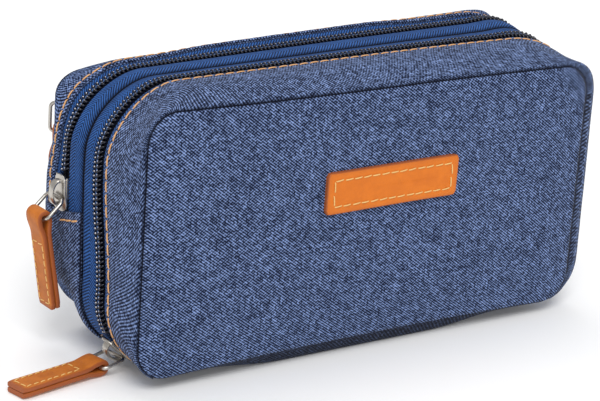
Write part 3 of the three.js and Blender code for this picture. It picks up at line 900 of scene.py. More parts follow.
@dataclass(frozen=True)
class Denim:
    """Blue heather canvas: pale and navy yarns cross one over one, and change along their way."""

    name: str = "denim"
    dark: Colour = (0.001, 0.004, 0.022)
    pale: Colour = (0.34, 0.485, 0.90)
    # The colour of painted shade along seams and folds.
    painted_shade: Colour = (0.003, 0.004, 0.012)
    warp: float = 0.70
    weft: float = 0.52
    run: float = 1.5
    slub: float = 0.12

    def yarn_tone(self, s: Shader, index: Value, along: Value, layer: float) -> Value:
        """The random tone of one set of yarns, which changes along each yarn.

        Args:
            s: The material.
            index: The yarn's number.
            along: The place along it.
            layer: The set of yarns, which picks its random values.

        Returns:
            The tone from 0 to 1.
        """
        start = s.random(index, 0.0, layer) * 9.0
        short = s.random(index, s.math("FLOOR", along / self.run + start), layer)
        long = s.random(index, s.math("FLOOR", along / (self.run * 5) + start), layer + 5)
        return short * 0.7 + long * 0.3

    def make(self) -> bpy.types.Material:
        """Builds the material.

        Returns:
            The material.
        """
        s = Shader(self.name)
        place, along, across = s.map()
        u, v = along / self.warp, across / self.weft
        column, row = s.math("FLOOR", u), s.math("FLOOR", v)
        falling = s.math("COSINE", (u + v) * math.pi)
        rising = s.math("COSINE", (u - v) * math.pi)
        weave = falling * 0.32 + rising * 0.16 + 0.5
        yarns = self.yarn_tone(s, column, across, 1.0) * 0.5
        yarns = yarns + self.yarn_tone(s, row, along, 2.0) * 0.5
        speck = s.random(column, row, 3.0)
        cloud = s.noise(place, 1 / 6.0, 3.0, 0.6)
        rows = s.noise(s.vector("MULTIPLY", place, (1 / 2.6, 1 / 0.75, 1.0)), 1.0, 1.0)
        columns = s.noise(s.vector("MULTIPLY", place, (1 / 0.85, 1 / 2.1, 1.0)), 1.0, 1.0)
        slubs = (rows - 0.5) * self.slub + (columns - 0.5) * (self.slub * 0.8)
        tone = weave * 0.7 + (yarns - 0.5) * 0.34 + (speck - 0.5) * 0.34 + (cloud - 0.5) * 0.12
        bright = s.math("POWER", (tone + slubs).step(-0.05, 0.98), 1.85)
        # The mark paints shade along seams and folds, and over the bottom's front under the panel.
        colour = s.mix(s.mark(), s.mix(bright, self.dark, self.pale), self.painted_shade)
        sheen = {"Sheen_Weight": 0.05, "Sheen_Roughness": 0.5}
        return s.finish(colour, 0.88, weave, 0.1, **sheen, Specular_IOR_Level=0.12)


@dataclass(frozen=True)
class Herringbone:
    """Zip tape: a saturated blue with a fine herringbone that turns at its middle."""

    name: str = "tape"
    dark: Colour = (0.0015, 0.008, 0.036)
    bright: Colour = (0.040, 0.155, 0.50)
    # The colour of painted shade at folds and beside the chain.
    painted_shade: Colour = (0.002, 0.003, 0.010)
    middle: float = 5.2
    pitch: float = 1.15

    def make(self) -> bpy.types.Material:
        """Builds the material.

        Returns:
            The material.
        """
        s = Shader(self.name)
        place, along, across = s.map()
        side = s.math("ABSOLUTE", across - self.middle)
        rib = (along + side * 0.85) / self.pitch
        wave = s.math("PINGPONG", rib, 0.5) * 2
        flat = s.random(s.math("FLOOR", rib), s.math("FLOOR", across / 0.4), 1.0)
        fuzz = s.noise(place, 1 / 0.5, 2.0, 0.6)
        cloud = s.noise(place, 1 / 12.0, 2.0, 0.5)
        tone = wave * 0.72 + flat * 0.16 + fuzz * 0.2 + (cloud - 0.5) * 0.25
        colour = s.mix(tone.step(0.22, 1.0), self.dark, self.bright)
        # The mark paints shade into the tape's folds, its middle valley and beside its chain.
        colour = s.mix(s.mark(), colour, self.painted_shade)
        return s.finish(
            colour, 0.75, wave * 0.8 + flat * 0.2, 0.16, Sheen_Weight=0.03,
            Specular_IOR_Level=0.15,
        )


@dataclass(frozen=True)
class Coil:
    """Dark glossy nylon, a painted highlight on each bead, and the blue thread that sews it down.
    """

    name: str = "coil"
    nylon: Colour = (0.002, 0.0035, 0.013)
    # The colour of the painted highlight on each bead's crest.
    painted_highlight: Colour = (0.95, 0.93, 1.0)
    thread: Colour = (0.075, 0.17, 0.42)

    def make(self) -> bpy.types.Material:
        """Builds the material.

        Returns:
            The material.
        """
        s = Shader(self.name)
        mark = s.mark()
        grain = s.noise(s.space(), 1 / 0.4, 2.0)
        thread = s.mix(grain, (0.03, 0.075, 0.2), self.thread)
        colour = s.mix(mark, self.nylon, thread)
        # A mark of -1 paints a highlight on each bead's crest.
        crest = s.math("MULTIPLY", mark, -1.0).step(0.35, 0.8)
        colour = s.mix(crest, colour, self.painted_highlight)
        cloth = mark.step(0.0, 0.5)
        return s.finish(colour, cloth * 0.5 + 0.2, grain * cloth, 0.06, Specular_IOR_Level=0.4)


@dataclass(frozen=True)
class Leather:
    """Tan leather: grained faces with dark flecks, and redder cut edges."""

    name: str
    face: Colour
    deep: Colour
    edge: Colour = (0.42, 0.11, 0.03)

    def make(self) -> bpy.types.Material:
        """Builds the material.

        Returns:
            The material.
        """
        s = Shader(self.name)
        place = s.space()
        grain = s.noise(place, 1 / 0.55, 4.0, 0.65)
        stain = s.noise(place, 1 / 5.0, 3.0, 0.6)
        pores = s.node("ShaderNodeTexVoronoi", {}, {"Vector": place, "Scale": 1 / 0.9})
        tone = (stain - 0.5) * 1.1 + (grain - 0.5) * 0.6 + 0.5
        face = s.mix(tone, self.deep, self.face)
        fleck = grain.step(0.66, 0.74) * 0.5
        face = s.mix(fleck, face, (0.12, 0.04, 0.015))
        colour = s.mix(s.mark(), face, s.mix(grain, (0.30, 0.075, 0.022), self.edge))
        relief = pores * 0.3 + grain * 0.7
        return s.finish(colour, 0.4 + grain * 0.25, relief, 0.08, Specular_IOR_Level=0.3)


@dataclass(frozen=True)
class Nickel:
    """Satin nickel plate with slight wear."""

    name: str = "nickel"

    def make(self) -> bpy.types.Material:
        """Builds the material.

        Returns:
            The material.
        """
        s = Shader(self.name)
        place = s.space()
        cloud = s.noise(place, 1 / 2.5, 3.0, 0.6)
        brush = s.noise(s.vector("MULTIPLY", place, (4.0, 4.0, 0.8)), 1.0, 2.0)
        colour = s.mix(cloud, (0.44, 0.41, 0.37), (0.66, 0.63, 0.58))
        return s.finish(colour, 0.24 + cloud * 0.16, brush, 0.01, Metallic=1.0)


@dataclass(frozen=True)
class Thread:
    """Sewing thread: two plies twisted round each other."""

    name: str
    dark: Colour
    pale: Colour

    def make(self) -> bpy.types.Material:
        """Builds the material.

        Returns:
            The material.
        """
        s = Shader(self.name)
        place = s.space()
        twist = s.noise(place, 1 / 0.35, 2.0, 0.6)
        slow = s.noise(place, 1 / 6.0, 1.0)
        colour = s.mix(twist * 0.8 + slow * 0.3, self.dark, self.pale)
        return s.finish(colour, 0.6, twist, 0.05, Sheen_Weight=0.1)


@dataclass(frozen=True)
class PlainCloth:
    """Close-woven cloth: lining, elastic or padding."""

    name: str
    dark: Colour
    pale: Colour
    pitch: float = 0.5
    ribs: float = 0.0

    def make(self) -> bpy.types.Material:
        """Builds the material.

        Returns:
            The material.
        """
        s = Shader(self.name)
        place = s.space()
        x, z = s.part(place, "X"), s.part(place, "Z")
        turn = 2 * math.pi / self.pitch
        weave = s.math("SINE", x * turn) * s.math("SINE", z * turn) * 0.5 + 0.5
        if self.ribs:
            weave = s.math("SINE", z * (2 * math.pi / self.ribs)) * 0.5 + 0.5
        fuzz = s.noise(place, 1 / 0.7, 3.0, 0.6)
        cloud = s.noise(place, 1 / 14.0, 2.0)
        colour = s.mix(weave * 0.4 + fuzz * 0.5 + (cloud - 0.5) * 0.5, self.dark, self.pale)
        return s.finish(colour, 0.8, weave * 0.6 + fuzz * 0.4, 0.08, Sheen_Weight=0.1)


@dataclass(frozen=True)
class Mesh:
    """Open knitted mesh: a net of round holes."""

    name: str = "net"
    pitch: float = 1.6

    def make(self) -> bpy.types.Material:
        """Builds the material.

        Returns:
            The material.
        """
        s = Shader(self.name)
        place = s.space()
        flat = s.vector("MULTIPLY", place, (1.0, 0.0, 1.0))
        cell = {"Vector": flat, "Scale": 1 / self.pitch, "Randomness": 0.0}
        hole = s.node("ShaderNodeTexVoronoi", {}, cell)
        fuzz = s.noise(place, 1 / 0.5, 2.0)
        thread = hole.step(0.30, 0.38)
        colour = s.mix(fuzz, (0.008, 0.009, 0.014), (0.035, 0.04, 0.055))
        material = s.finish(colour, 0.7, hole, 0.15)
        s.put(s.surface.inputs["Alpha"], thread)
        return material


class Finish(Enum):
    """Every finish of the case."""

    DENIM = Denim()
    SIDE_DENIM = Denim("side denim", warp=0.60, weft=0.74, slub=0.35)
    TAPE = Herringbone()
    COIL = Coil()
    LABEL = Leather("label leather", (0.82, 0.215, 0.012), (0.63, 0.145, 0.008))
    PULL = Leather("pull leather", (0.72, 0.225, 0.026), (0.36, 0.085, 0.010))
    NICKEL = Nickel()
    TOPSTITCH = Thread("tan thread", (0.52, 0.22, 0.07), (0.90, 0.52, 0.22))
    LABEL_THREAD = Thread("yellow thread", (0.66, 0.36, 0.09), (0.95, 0.66, 0.25))
    LINING = PlainCloth("lining", (0.010, 0.013, 0.028), (0.035, 0.045, 0.085))
    BOARD = PlainCloth("divider cloth", (0.012, 0.016, 0.035), (0.045, 0.055, 0.10), 0.8)
    ELASTIC = PlainCloth("elastic", (0.006, 0.006, 0.010), (0.03, 0.03, 0.042), 0.5, 0.9)
    NET = Mesh()


class Hold(Enum):
    """How a sheet of cloth is held."""

    STRETCHED = "stretched"
    LAID = "laid"


# The narrowest flat width in millimetres that is said of a strip.
LEAST_CUT = 10.0


@dataclass(frozen=True)
class Cut:
    """The flat cut of a sheet of cloth in millimetres, and what holds it."""

    width: float
    length: float
    rests_on: tuple[str, ...]
    hold: Hold = Hold.STRETCHED
    share: float = 1.0
    hem: tuple[str, ...] = ()

    def declare(self, thing: bpy.types.Object) -> None:
        """Works out the sheet's sizes in metres and its area, and keeps none of them.

        Args:
            thing: The piece, which is not used.
        """
        width, length = self.width * MM, self.length * MM
        list(self.rests_on)
        width * length * self.share
        list(self.hem)


MATERIALS: dict[Finish, bpy.types.Material] = {}


def dress(thing: bpy.types.Object, finish: Finish) -> None:
    """Gives a piece its finish, building the material the first time.

    Args:
        thing: The piece.
        finish: Its finish.
    """
    if finish not in MATERIALS:
        MATERIALS[finish] = finish.value.make()
    thing.data.materials.clear()
    thing.data.materials.append(MATERIALS[finish])


def settle(
    thing: bpy.types.Object,
    finish: Finish,
    slot: str,
    body: Union[str, tuple[str, str, Vector, Vector]],
    nodes: Sequence[str] = (),
    soft: bool = True,
    cut: Optional[Cut] = None,
) -> None:
    """Dresses a piece, ties it to its body where it is given one, and hides what it stands for.

    Args:
        thing: The piece.
        finish: Its finish.
        slot: The name of a material slot, which is not used.
        body: The body that it rides on, or two bodies and the points where it leaves one
        and joins the other, in metres; such a piece rides on no body.
        nodes: The CAD nodes that it replaces.
        soft: The piece stands out of true with the soft case.
        cut: Its flat cut, where it is a sheet of cloth.
    """
    if soft:
        for vertex in thing.data.vertices:
            vertex.co = SLUMP.moved(vertex.co / MM) * MM
    dress(thing, finish)
    if isinstance(body, str):
        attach(thing, body)
    else:
        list(body)
        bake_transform(thing)
    if nodes:
        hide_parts(*nodes)
    if cut is not None:
        cut.declare(thing)
    log.info("%s: %d faces", thing.name, len(thing.data.polygons))


# Strips, stitches and zip chains


class Edge(Enum):
    """How a long edge of a strip ends: its profile as (distance in, height) pairs."""

    SEAM = ((0.0, -1.0), (0.12, -0.5), (0.45, -0.14), (1.1, 0.0))
    FOLD = ((0.25, -0.95), (0.0, -0.5), (0.22, -0.06), (0.7, 0.1))
    BUTT = ((0.0, -0.45), (0.0, -0.2), (0.1, -0.03), (0.4, 0.0))


def value_at(term: AtSection, q: float) -> float:
    """A number that may depend on the section."""
    return term(q) if callable(term) else term


@dataclass
class Strip:
    """A band of cloth or tape that follows the case's outline between two depths."""

    name: str
    start: float
    end: float
    low: AtSection
    high: AtSection
    low_edge: Edge
    high_edge: Edge
    inset: float = 0.0
    thickness: float = 0.9
    across: int = 9
    step: float = 2.6
    relief: Callable[[float, float, float], float] = lambda q, y, share: 0.0
    # The painted shade of the outer face at a section and a depth, from 0 to 1.
    painted_shade: Callable[[float, float], float] = lambda q, y: 0.0
    skew: Callable[[float, float], float] = lambda q, y: q

    def profile(self, q: float) -> list[tuple[float, float]]:
        """The depth and height of each point across the strip at one section.

        Args:
            q: The section.

        Returns:
            The points from the low edge to the high.
        """
        low, high = value_at(self.low, q), value_at(self.high, q)
        first, last = self.low_edge.value[-1][0], self.high_edge.value[-1][0]
        span = high - low - first - last
        points = [(low + d, h) for d, h in self.low_edge.value]
        points += [(low + first + span * i / self.across, 0.0) for i in range(1, self.across)]
        return points + [(high - d, h) for d, h in reversed(self.high_edge.value)]

    def ring(self, q: float) -> list[Vector]:
        """The closed cross-section at one section.

        Args:
            q: The section.

        Returns:
            The points, those of the outer face first.
        """
        low, high = value_at(self.low, q), value_at(self.high, q)
        top = self.profile(q)
        relief = [h + self.relief(q, y, (y - low) / (high - low)) for y, h in top]

        def at(y: float, drop: float) -> Vector:
            """A point at a depth, sunk by a distance into the case."""
            return SHELL.point(self.skew(q, y), y, self.inset + drop)

        outer = [at(y, -r) for (y, _), r in zip(top, relief)]
        under = [max(self.thickness, self.thickness - r) for r in relief]
        inner = [at(y, drop) for (y, _), drop in zip(top[1:-1], under[1:-1])]
        return outer + inner[::-1]

    def marks(self, q: float) -> list[float]:
        """How dark each point of a cross-section is painted, for the shade in seams, folds and
        creases.
        """
        outer = [self.painted_shade(q, y) for y, _ in self.profile(q)]
        return outer + [0.0] * (len(outer) - 2)

    def cut(self, rests_on: str) -> Cut:
        """The strip's flat cut: its widest width and middle line, with its mean width's area.

        Args:
            rests_on: The piece that it is sewn to.

        Returns:
            The cut.
        """
        sections = SHELL.walk(self.start, self.end, 15)
        widths = [value_at(self.high, q) - value_at(self.low, q) for q in sections]

        def middle(q: float) -> float:
            """The depth of the middle line at a section."""
            return (value_at(self.low, q) + value_at(self.high, q)) / 2

        widest = max(*widths, LEAST_CUT)
        share = sum(widths) / len(widths) / widest
        length = Route(middle, self.start, self.end).length
        return Cut(widest, length, (rests_on,), share=share)

    def build(self) -> bpy.types.Object:
        """The strip as a closed mesh.

        Returns:
            The piece.
        """
        sections = SHELL.walk(self.start, self.end, self.step)
        rings = [self.ring(q) for q in sections]
        return loft(self.name, rings, angle=55, marks=[self.marks(q) for q in sections])

    def lay(self, finish: Finish, slot: str, body: str, node: str, rests_on: str) -> None:
        """Builds the strip on its body in place of its CAD node, cut as cloth that is sewn on."""
        settle(self.build(), finish, slot, body, [node], cut=self.cut(rests_on))


def beside(line: float, y: float, width: float = 0.55) -> float:
    """The mark of painted shade beside a seam or fold line: 1 on it and 0 from its width on."""
    return 1 - smooth(max(width * 0.2, width - 0.7), width, abs(y - line))


def beside_chain(line: float, y: float) -> float:
    """The mark of the shade that a zip's chain throws on its tape."""
    return beside(line, y, LAYOUT.chain_shade)


def under_chain(far: float) -> float:
    """A tape's relief at a distance from its zip: lower where the chain lies on it."""
    return -0.75 * smooth(3.4, 2.6, far)


def valley(line: float, y: float) -> float:
    """The mark of painted shade in a soft valley: dark on its line, fading over two millimetres."""
    far = abs(y - line)
    return max(1 - smooth(0.25, 0.9, far), 0.45 * (1 - smooth(0.4, 2.4, far)))


@dataclass
class Seam:
    """A row of stitches along a path on a surface."""

    name: str
    pitch: float = 4.2
    share: float = 0.9
    width: float = 0.31
    height: float = 0.26
    sink: float = 0.3
    slant: float = 0.1
    seed: int = 1

    def stitch(
        self, bundle: Bundle, a: Vector, b: Vector, out: Vector, slip: float
    ) -> None:
        """Adds one stitch, a round thread that dives into the cloth at both ends.

        Args:
            bundle: The bundle that takes it.
            a: Where it comes up.
            b: Where it dives in.
            out: The way out of the cloth.
            slip: How far its ends lie aside, so that it slants.
        """
        along = b - a
        side = out.cross(along).normalized()
        rings = []
        for t, rise, thick in (
            (0.0, -self.sink, 0.6),
            (0.05, 0.04, 0.9),
            (0.2, self.height * 0.85, 1.0),
            (0.5, self.height, 1.05),
            (0.8, self.height * 0.85, 1.0),
            (0.95, 0.04, 0.9),
            (1.0, -self.sink, 0.6),
        ):
            centre = a + along * t + out * rise + side * (slip * (t - 0.5) * 2)
            size = thick * self.width
            rings.append(oval(centre, size * side, size * 0.8 * out))
        bundle.add(rings)

    def along(self, place: Callable[[float], tuple[Vector, Vector]], length: float) -> Bundle:
        """Stitches along a path.

        Args:
            place: The point and the way out at a distance along the path.
            length: The path's length.

        Returns:
            The bundle of stitches.
        """
        bundle = Bundle(self.name)
        draw = random.Random(self.seed)
        count = max(round(length / self.pitch), 1)
        step = length / count
        for i in range(count):
            start = i * step + step * (1 - self.share) / 2 + draw.uniform(-0.12, 0.12)
            stop = start + step * self.share
            (a, out), (b, _) = place(start), place(stop)
            self.stitch(bundle, a, b, out, self.slant + draw.uniform(-0.08, 0.08))
        return bundle

    def around(
        self,
        corners: Sequence[tuple[float, float]],
        spot: Callable[[float, float], tuple[Vector, Vector]],
    ) -> Bundle:
        """Stitches along each side of a flat outline.

        Args:
            corners: Its corners, the first one again at the end.
            spot: The point and the way out at a place of the flat outline.

        Returns:
            The bundle of stitches.
        """
        bundle = Bundle(self.name)
        for a, b in zip(corners, corners[1:]):
            length = math.dist(a, b)

            def place(far: float, a: tuple = a, b: tuple = b, length: float = length) -> tuple:
                """The point and the way out at a distance along this side."""
                return spot(*(c + (d - c) * far / length for c, d in zip(a, b)))

            bundle.extend(self.along(place, length))
        return bundle


class Route:
    """A path round the case at a depth that may depend on the section."""

    def __init__(self, depth: AtSection, start: float, end: float, inset: float = 0.0) -> None:
        """Measures the path once, so that places on it are found by distance.

        Args:
            depth: Its depth.
            start: Its first section.
            end: Its last section.
            inset: How far inside the outline it runs.
        """
        self.depth = depth
        self.inset = inset
        self.sections = np.linspace(start, end, int((end - start) * 90) + 2)
        points = np.array([self.point(q)[:] for q in self.sections])
        steps = np.linalg.norm(np.diff(points, axis=0), axis=1)
        self.far = np.concatenate([[0], np.cumsum(steps)])
        self.length = float(self.far[-1])

    def point(self, q: float) -> Vector:
        """The point at a section."""
        return SHELL.point(q, value_at(self.depth, q), self.inset)

    def section(self, distance: float) -> float:
        """The section at a distance from the start."""
        return float(np.interp(distance, self.far, self.sections))

    def place(self, distance: float) -> tuple[Vector, Vector]:
        """The point and the way out at a distance from the start."""
        q = self.section(distance)
        return self.point(q), SHELL.outward(q, value_at(self.depth, q))


@dataclass
class Chain:
    """Half of a coil zip: loops of one glossy monofilament with bright sewing thread.

    Each loop rises from the tape, swells into a bead and ducks under the thread at the middle,
    where it hooks into the loops of the other half.
    """

    name: str
    pitch: float = 1.6
    wire: float = 0.42
    lift: float = 0.45

    def build(
        self,
        place: Callable[[float], tuple[Vector, Vector]],
        length: float,
        across: Vector,
        side: int,
    ) -> bpy.types.Object:
        """Builds the chain.

        Args:
            place: The middle point and the way out at a distance along the zip.
            length: The zip's length.
            across: The way across the zip.
            side: 1 for the half on that side, -1 for the other.

        Returns:
            The chain as one object.
        """
        bundle = Bundle(self.name)
        count = int(length / self.pitch) - 1
        # How far each point lies across, out and along, and how thick the wire is there.
        shape = (
            (2.0, -0.75, 0.30, 0.8),
            (1.95, -0.3, 0.22, 0.95),
            (1.65, 0.1, 0.14, 1.1),
            (1.35, 0.33, 0.06, 1.3),
            (1.0, 0.38, 0.0, 1.35),
            (0.65, 0.2, -0.05, 1.15),
            (0.3, -0.05, -0.06, 1.0),
            (-0.3, -0.3, 0.0, 0.8),
        )
        for i in range(count):
            far = (i + (0.5 if side > 0 else 1.0)) * self.pitch
            centre, out = place(far)
            along = (place(far + 0.2)[0] - centre).normalized()
            path = [
                centre + across * (side * a) + out * (n + self.lift) + along * (t * self.pitch)
                for a, n, t, _ in shape
            ]
            rings = tube(path, self.wire, 6, crest=out)
            for k, (_, _, _, swell) in enumerate(shape):
                rings[k] = [path[k] + (p - path[k]) * swell for p in rings[k]]
            bundle.add(rings)
            # The bead's crest gets a mark of -1, where the coil's material paints a highlight.
            bundle.touch(6 * (len(shape) - 4), -1.0)
        if side > 0:
            self.knot(bundle, place, count, across)
        return bundle.build()

    def knot(
        self,
        bundle: Bundle,
        place: Callable[[float], tuple[Vector, Vector]],
        count: int,
        across: Vector,
    ) -> None:
        """Adds the bright stitches that show between the hooked loops.

        Args:
            bundle: The bundle that takes them.
            place: The middle point and the way out at a distance along the zip.
            count: How many there are.
            across: The way across the zip.
        """
        for i in range(count):
            centre, out = place((i + 0.95) * self.pitch)
            along = (place((i + 1.05) * self.pitch)[0] - centre).normalized()
            rings = []
            for t, size in ((-1.0, 0.35), (-0.65, 0.8), (0.0, 1.0), (0.65, 0.8), (1.0, 0.35)):
                spot = centre + along * (t * 0.62) + across * (t * 0.2) + out * (self.lift + 0.12)
                rings.append(oval(spot, 0.5 * size * across, 0.4 * size * out))
            bundle.add(rings, mark=1.0)

    def lay(self, body: str, node: str, route: "Route", side: int) -> None:
        """Builds the chain along a route, on its body in place of its CAD node."""
        made = self.build(route.place, route.length, Vector((0, 1, 0)), side)
        settle(made, Finish.COIL, "zip_coil", body, [node])


# Sub-assemblies


def padding(spot: Vector, inset: float, seed: float) -> float:
    """How far a padded face stands out of its seam, with its broad relief."""
    return 0.2 + PILLOW.at(inset - 0.35) + ripple(spot, 34.0, 0.5, seed) * smooth(3, 20, inset)


def padded_panel(
    name: str, front: bool, back_offset: float, edge: float, seed: float
) -> bpy.types.Object:
    """A padded face: cloth that is pulled into its seam all round, over foam.

    Args:
        name: The piece's name.
        front: The front face, and else the back.
        back_offset: How far behind its skin the pad ends.
        edge: Where its back begins, from the seam.
        seed: The place of its relief.

    Returns:
        The closed pad.
    """
    seam = SHELL.front if front else SHELL.rear
    outward = -1 if front else 1
    outline = SHELL.outline(seam)
    centre_z = (outline.top + outline.bottom) / 2
    half_height = (outline.top - outline.bottom) / 2
    spine = outline.half_width - half_height
    sections = SHELL.walk(0, SHELL.sections, 2.6)[:-1]
    insets = [0.55, 0.8, 1.2, 2.0, 3.2, 5.0, 7.5, 10.5, 14.0, 18.0, 23.0]
    shrink = [0.2, 0.4, 0.6, 0.8, 1.0]
    tuck_in, tuck_depth = 0.9, 0.7

    def column(q: float) -> list[Vector]:
        """The points of the panel at one section.

        Args:
            q: The section.

        Returns:
            The points, from the middle of the face over the rim to the middle of the back.
        """
        rows: list[tuple[Vector, float]] = []
        for inset in insets:
            x, z = SHELL.on_outline(outline, q, inset)
            rows.append((Vector((x, 0, z)), inset))
        base = rows[-1][0]
        goal = Vector((min(max(base.x, -spine), spine), 0, centre_z))
        rows += [(base.lerp(goal, t), insets[-1] + 20 * t) for t in shrink]
        top = []
        for spot, inset in rows:
            near = smooth(0.5, 2.5, inset) * (1 - smooth(4, 13, inset))
            height = padding(spot, inset, seed) + ripple(spot, 5.5, 0.28, seed + 4) * near
            top.append(Vector((spot.x, seam + outward * height, spot.z)))
        x, z = SHELL.on_outline(outline, q, tuck_in)
        tuck = [Vector((x, seam - outward * tuck_depth, z))]
        back = [
            Vector((spot.x, seam + outward * (0.2 + PILLOW.at(inset) - back_offset), spot.z))
            for spot, inset in rows
            if inset >= edge
        ]
        return top[::-1] + tuck + back

    rings = [column(q) for q in sections]
    # The marks paint a seam shadow round the rim, wider at the right end.
    marks = [
        [beside(seam - outward * 0.2, p.y, 0.95 + 0.4 * smooth(83, 90, p.x)) for p in ring]
        for ring in rings
    ]
    return loft(name, rings, wrapped=False, looped=True, flat_uv=True, marks=marks)


def panel_surface(x: float, z: float, front: bool, seed: float) -> float:
    """The depth of a padded face's skin at a place away from its edge.

    Args:
        x: The place across.
        z: Its height.
        front: The front face, and else the back.
        seed: The place of its relief.

    Returns:
        The depth there.
    """
    seam = SHELL.front if front else SHELL.rear
    outline = SHELL.outline(seam)
    inset = min(outline.half_width - abs(x), outline.top - z, z - outline.bottom)
    return seam + (-1 if front else 1) * padding(Vector((x, 0, z)), inset, seed)


def slab(
    name: str,
    low: tuple[float, float],
    high: tuple[float, float],
    depth: Callable[[float, float], float],
    thickness: float,
    radius: float,
    bevel: float,
    step: float = 2.0,
) -> bpy.types.Object:
    """A flat piece with round corners that lies on a surface facing front or back.

    Args:
        name: The piece's name.
        low: Its lowest x and z.
        high: Its highest x and z.
        depth: The depth of its outer face at a place.
        thickness: Its thickness, behind the outer face if positive, and else before it.
        radius: The radius of its corners.
        bevel: The roundness of its long edges.
        step: The size of its faces.

    Returns:
        The piece.
    """
    middle = Vector(((low[0] + high[0]) / 2, 0, (low[1] + high[1]) / 2))
    half = ((high[0] - low[0]) / 2, (high[1] - low[1]) / 2)
    sign = 1 if thickness > 0 else -1
    steps = max(int(2 * (half[0] + half[1]) * 2 / step / 4) * 4, 32)
    spine = max(half[0] - half[1], 0)

    def rim(t: float, inset: float) -> tuple[float, float]:
        """The rim at a share of its way round, which starts in the middle of the left side.

        Args:
            t: The share of its way round.
            inset: How far inside the outline.

        Returns:
            The point as x and z, counted from the middle.
        """
        r = max(radius - inset, 0.05)
        a, b = half[0] - inset, half[1] - inset
        side, bend, across = b - r, math.pi * r / 2, 2 * (a - r)
        half_way = 2 * (side + bend) + across
        far = (t % 1) * 2 * half_way
        flip = 1
        if far >= half_way:
            far -= half_way
            flip = -1
        if far < side:
            x, z = -a, far
        elif far < side + bend:
            turn = (far - side) / r
            x, z = -a + r - r * math.cos(turn), side + r * math.sin(turn)
        elif far < side + bend + across:
            x, z = -a + r + far - side - bend, b
        elif far < side + 2 * bend + across:
            turn = (far - side - bend - across) / r
            x, z = a - r + r * math.sin(turn), side + r * math.cos(turn)
        else:
            x, z = a, half_way - far
        return flip * x, flip * z

    def at(x: float, z: float, further: float) -> Vector:
        """A point counted from the middle, and further back than the face."""
        x, z = middle.x + x, middle.z + z
        return Vector((x, depth(x, z) + further, z))

    turns = [k / 4 * math.pi / 2 for k in range(5)]
    rows = [(bevel * (1 - math.sin(turn)), bevel * (1 - math.cos(turn))) for turn in turns]

    def column(t: float) -> list[Vector]:
        """The points of the piece at one place of its rim.

        Args:
            t: The share of the way round.

        Returns:
            The points, from the middle of the face over the rim to the middle of the back.
        """
        base_x, base_z = rim(t, bevel)
        goal_x = min(max(base_x, -spine), spine)
        fill = [
            (base_x + (goal_x - base_x) * share, base_z * (1 - share))
            for share in (0.18, 0.4, 0.62, 0.82, 0.95)
        ]
        face = [at(x, z, 0) for x, z in fill[::-1]]
        edge = [at(*rim(t, inset), sign * drop) for inset, drop in rows]
        return face + edge + [at(*rim(t, 0), thickness)] + [at(x, z, thickness) for x, z in fill]

    columns = [column(i / steps) for i in range(steps)]
    return loft(name, columns, wrapped=False, looped=True, flat_uv=True, angle=50)


FRONT_SEED = 3.1
REAR_SEED = 8.4


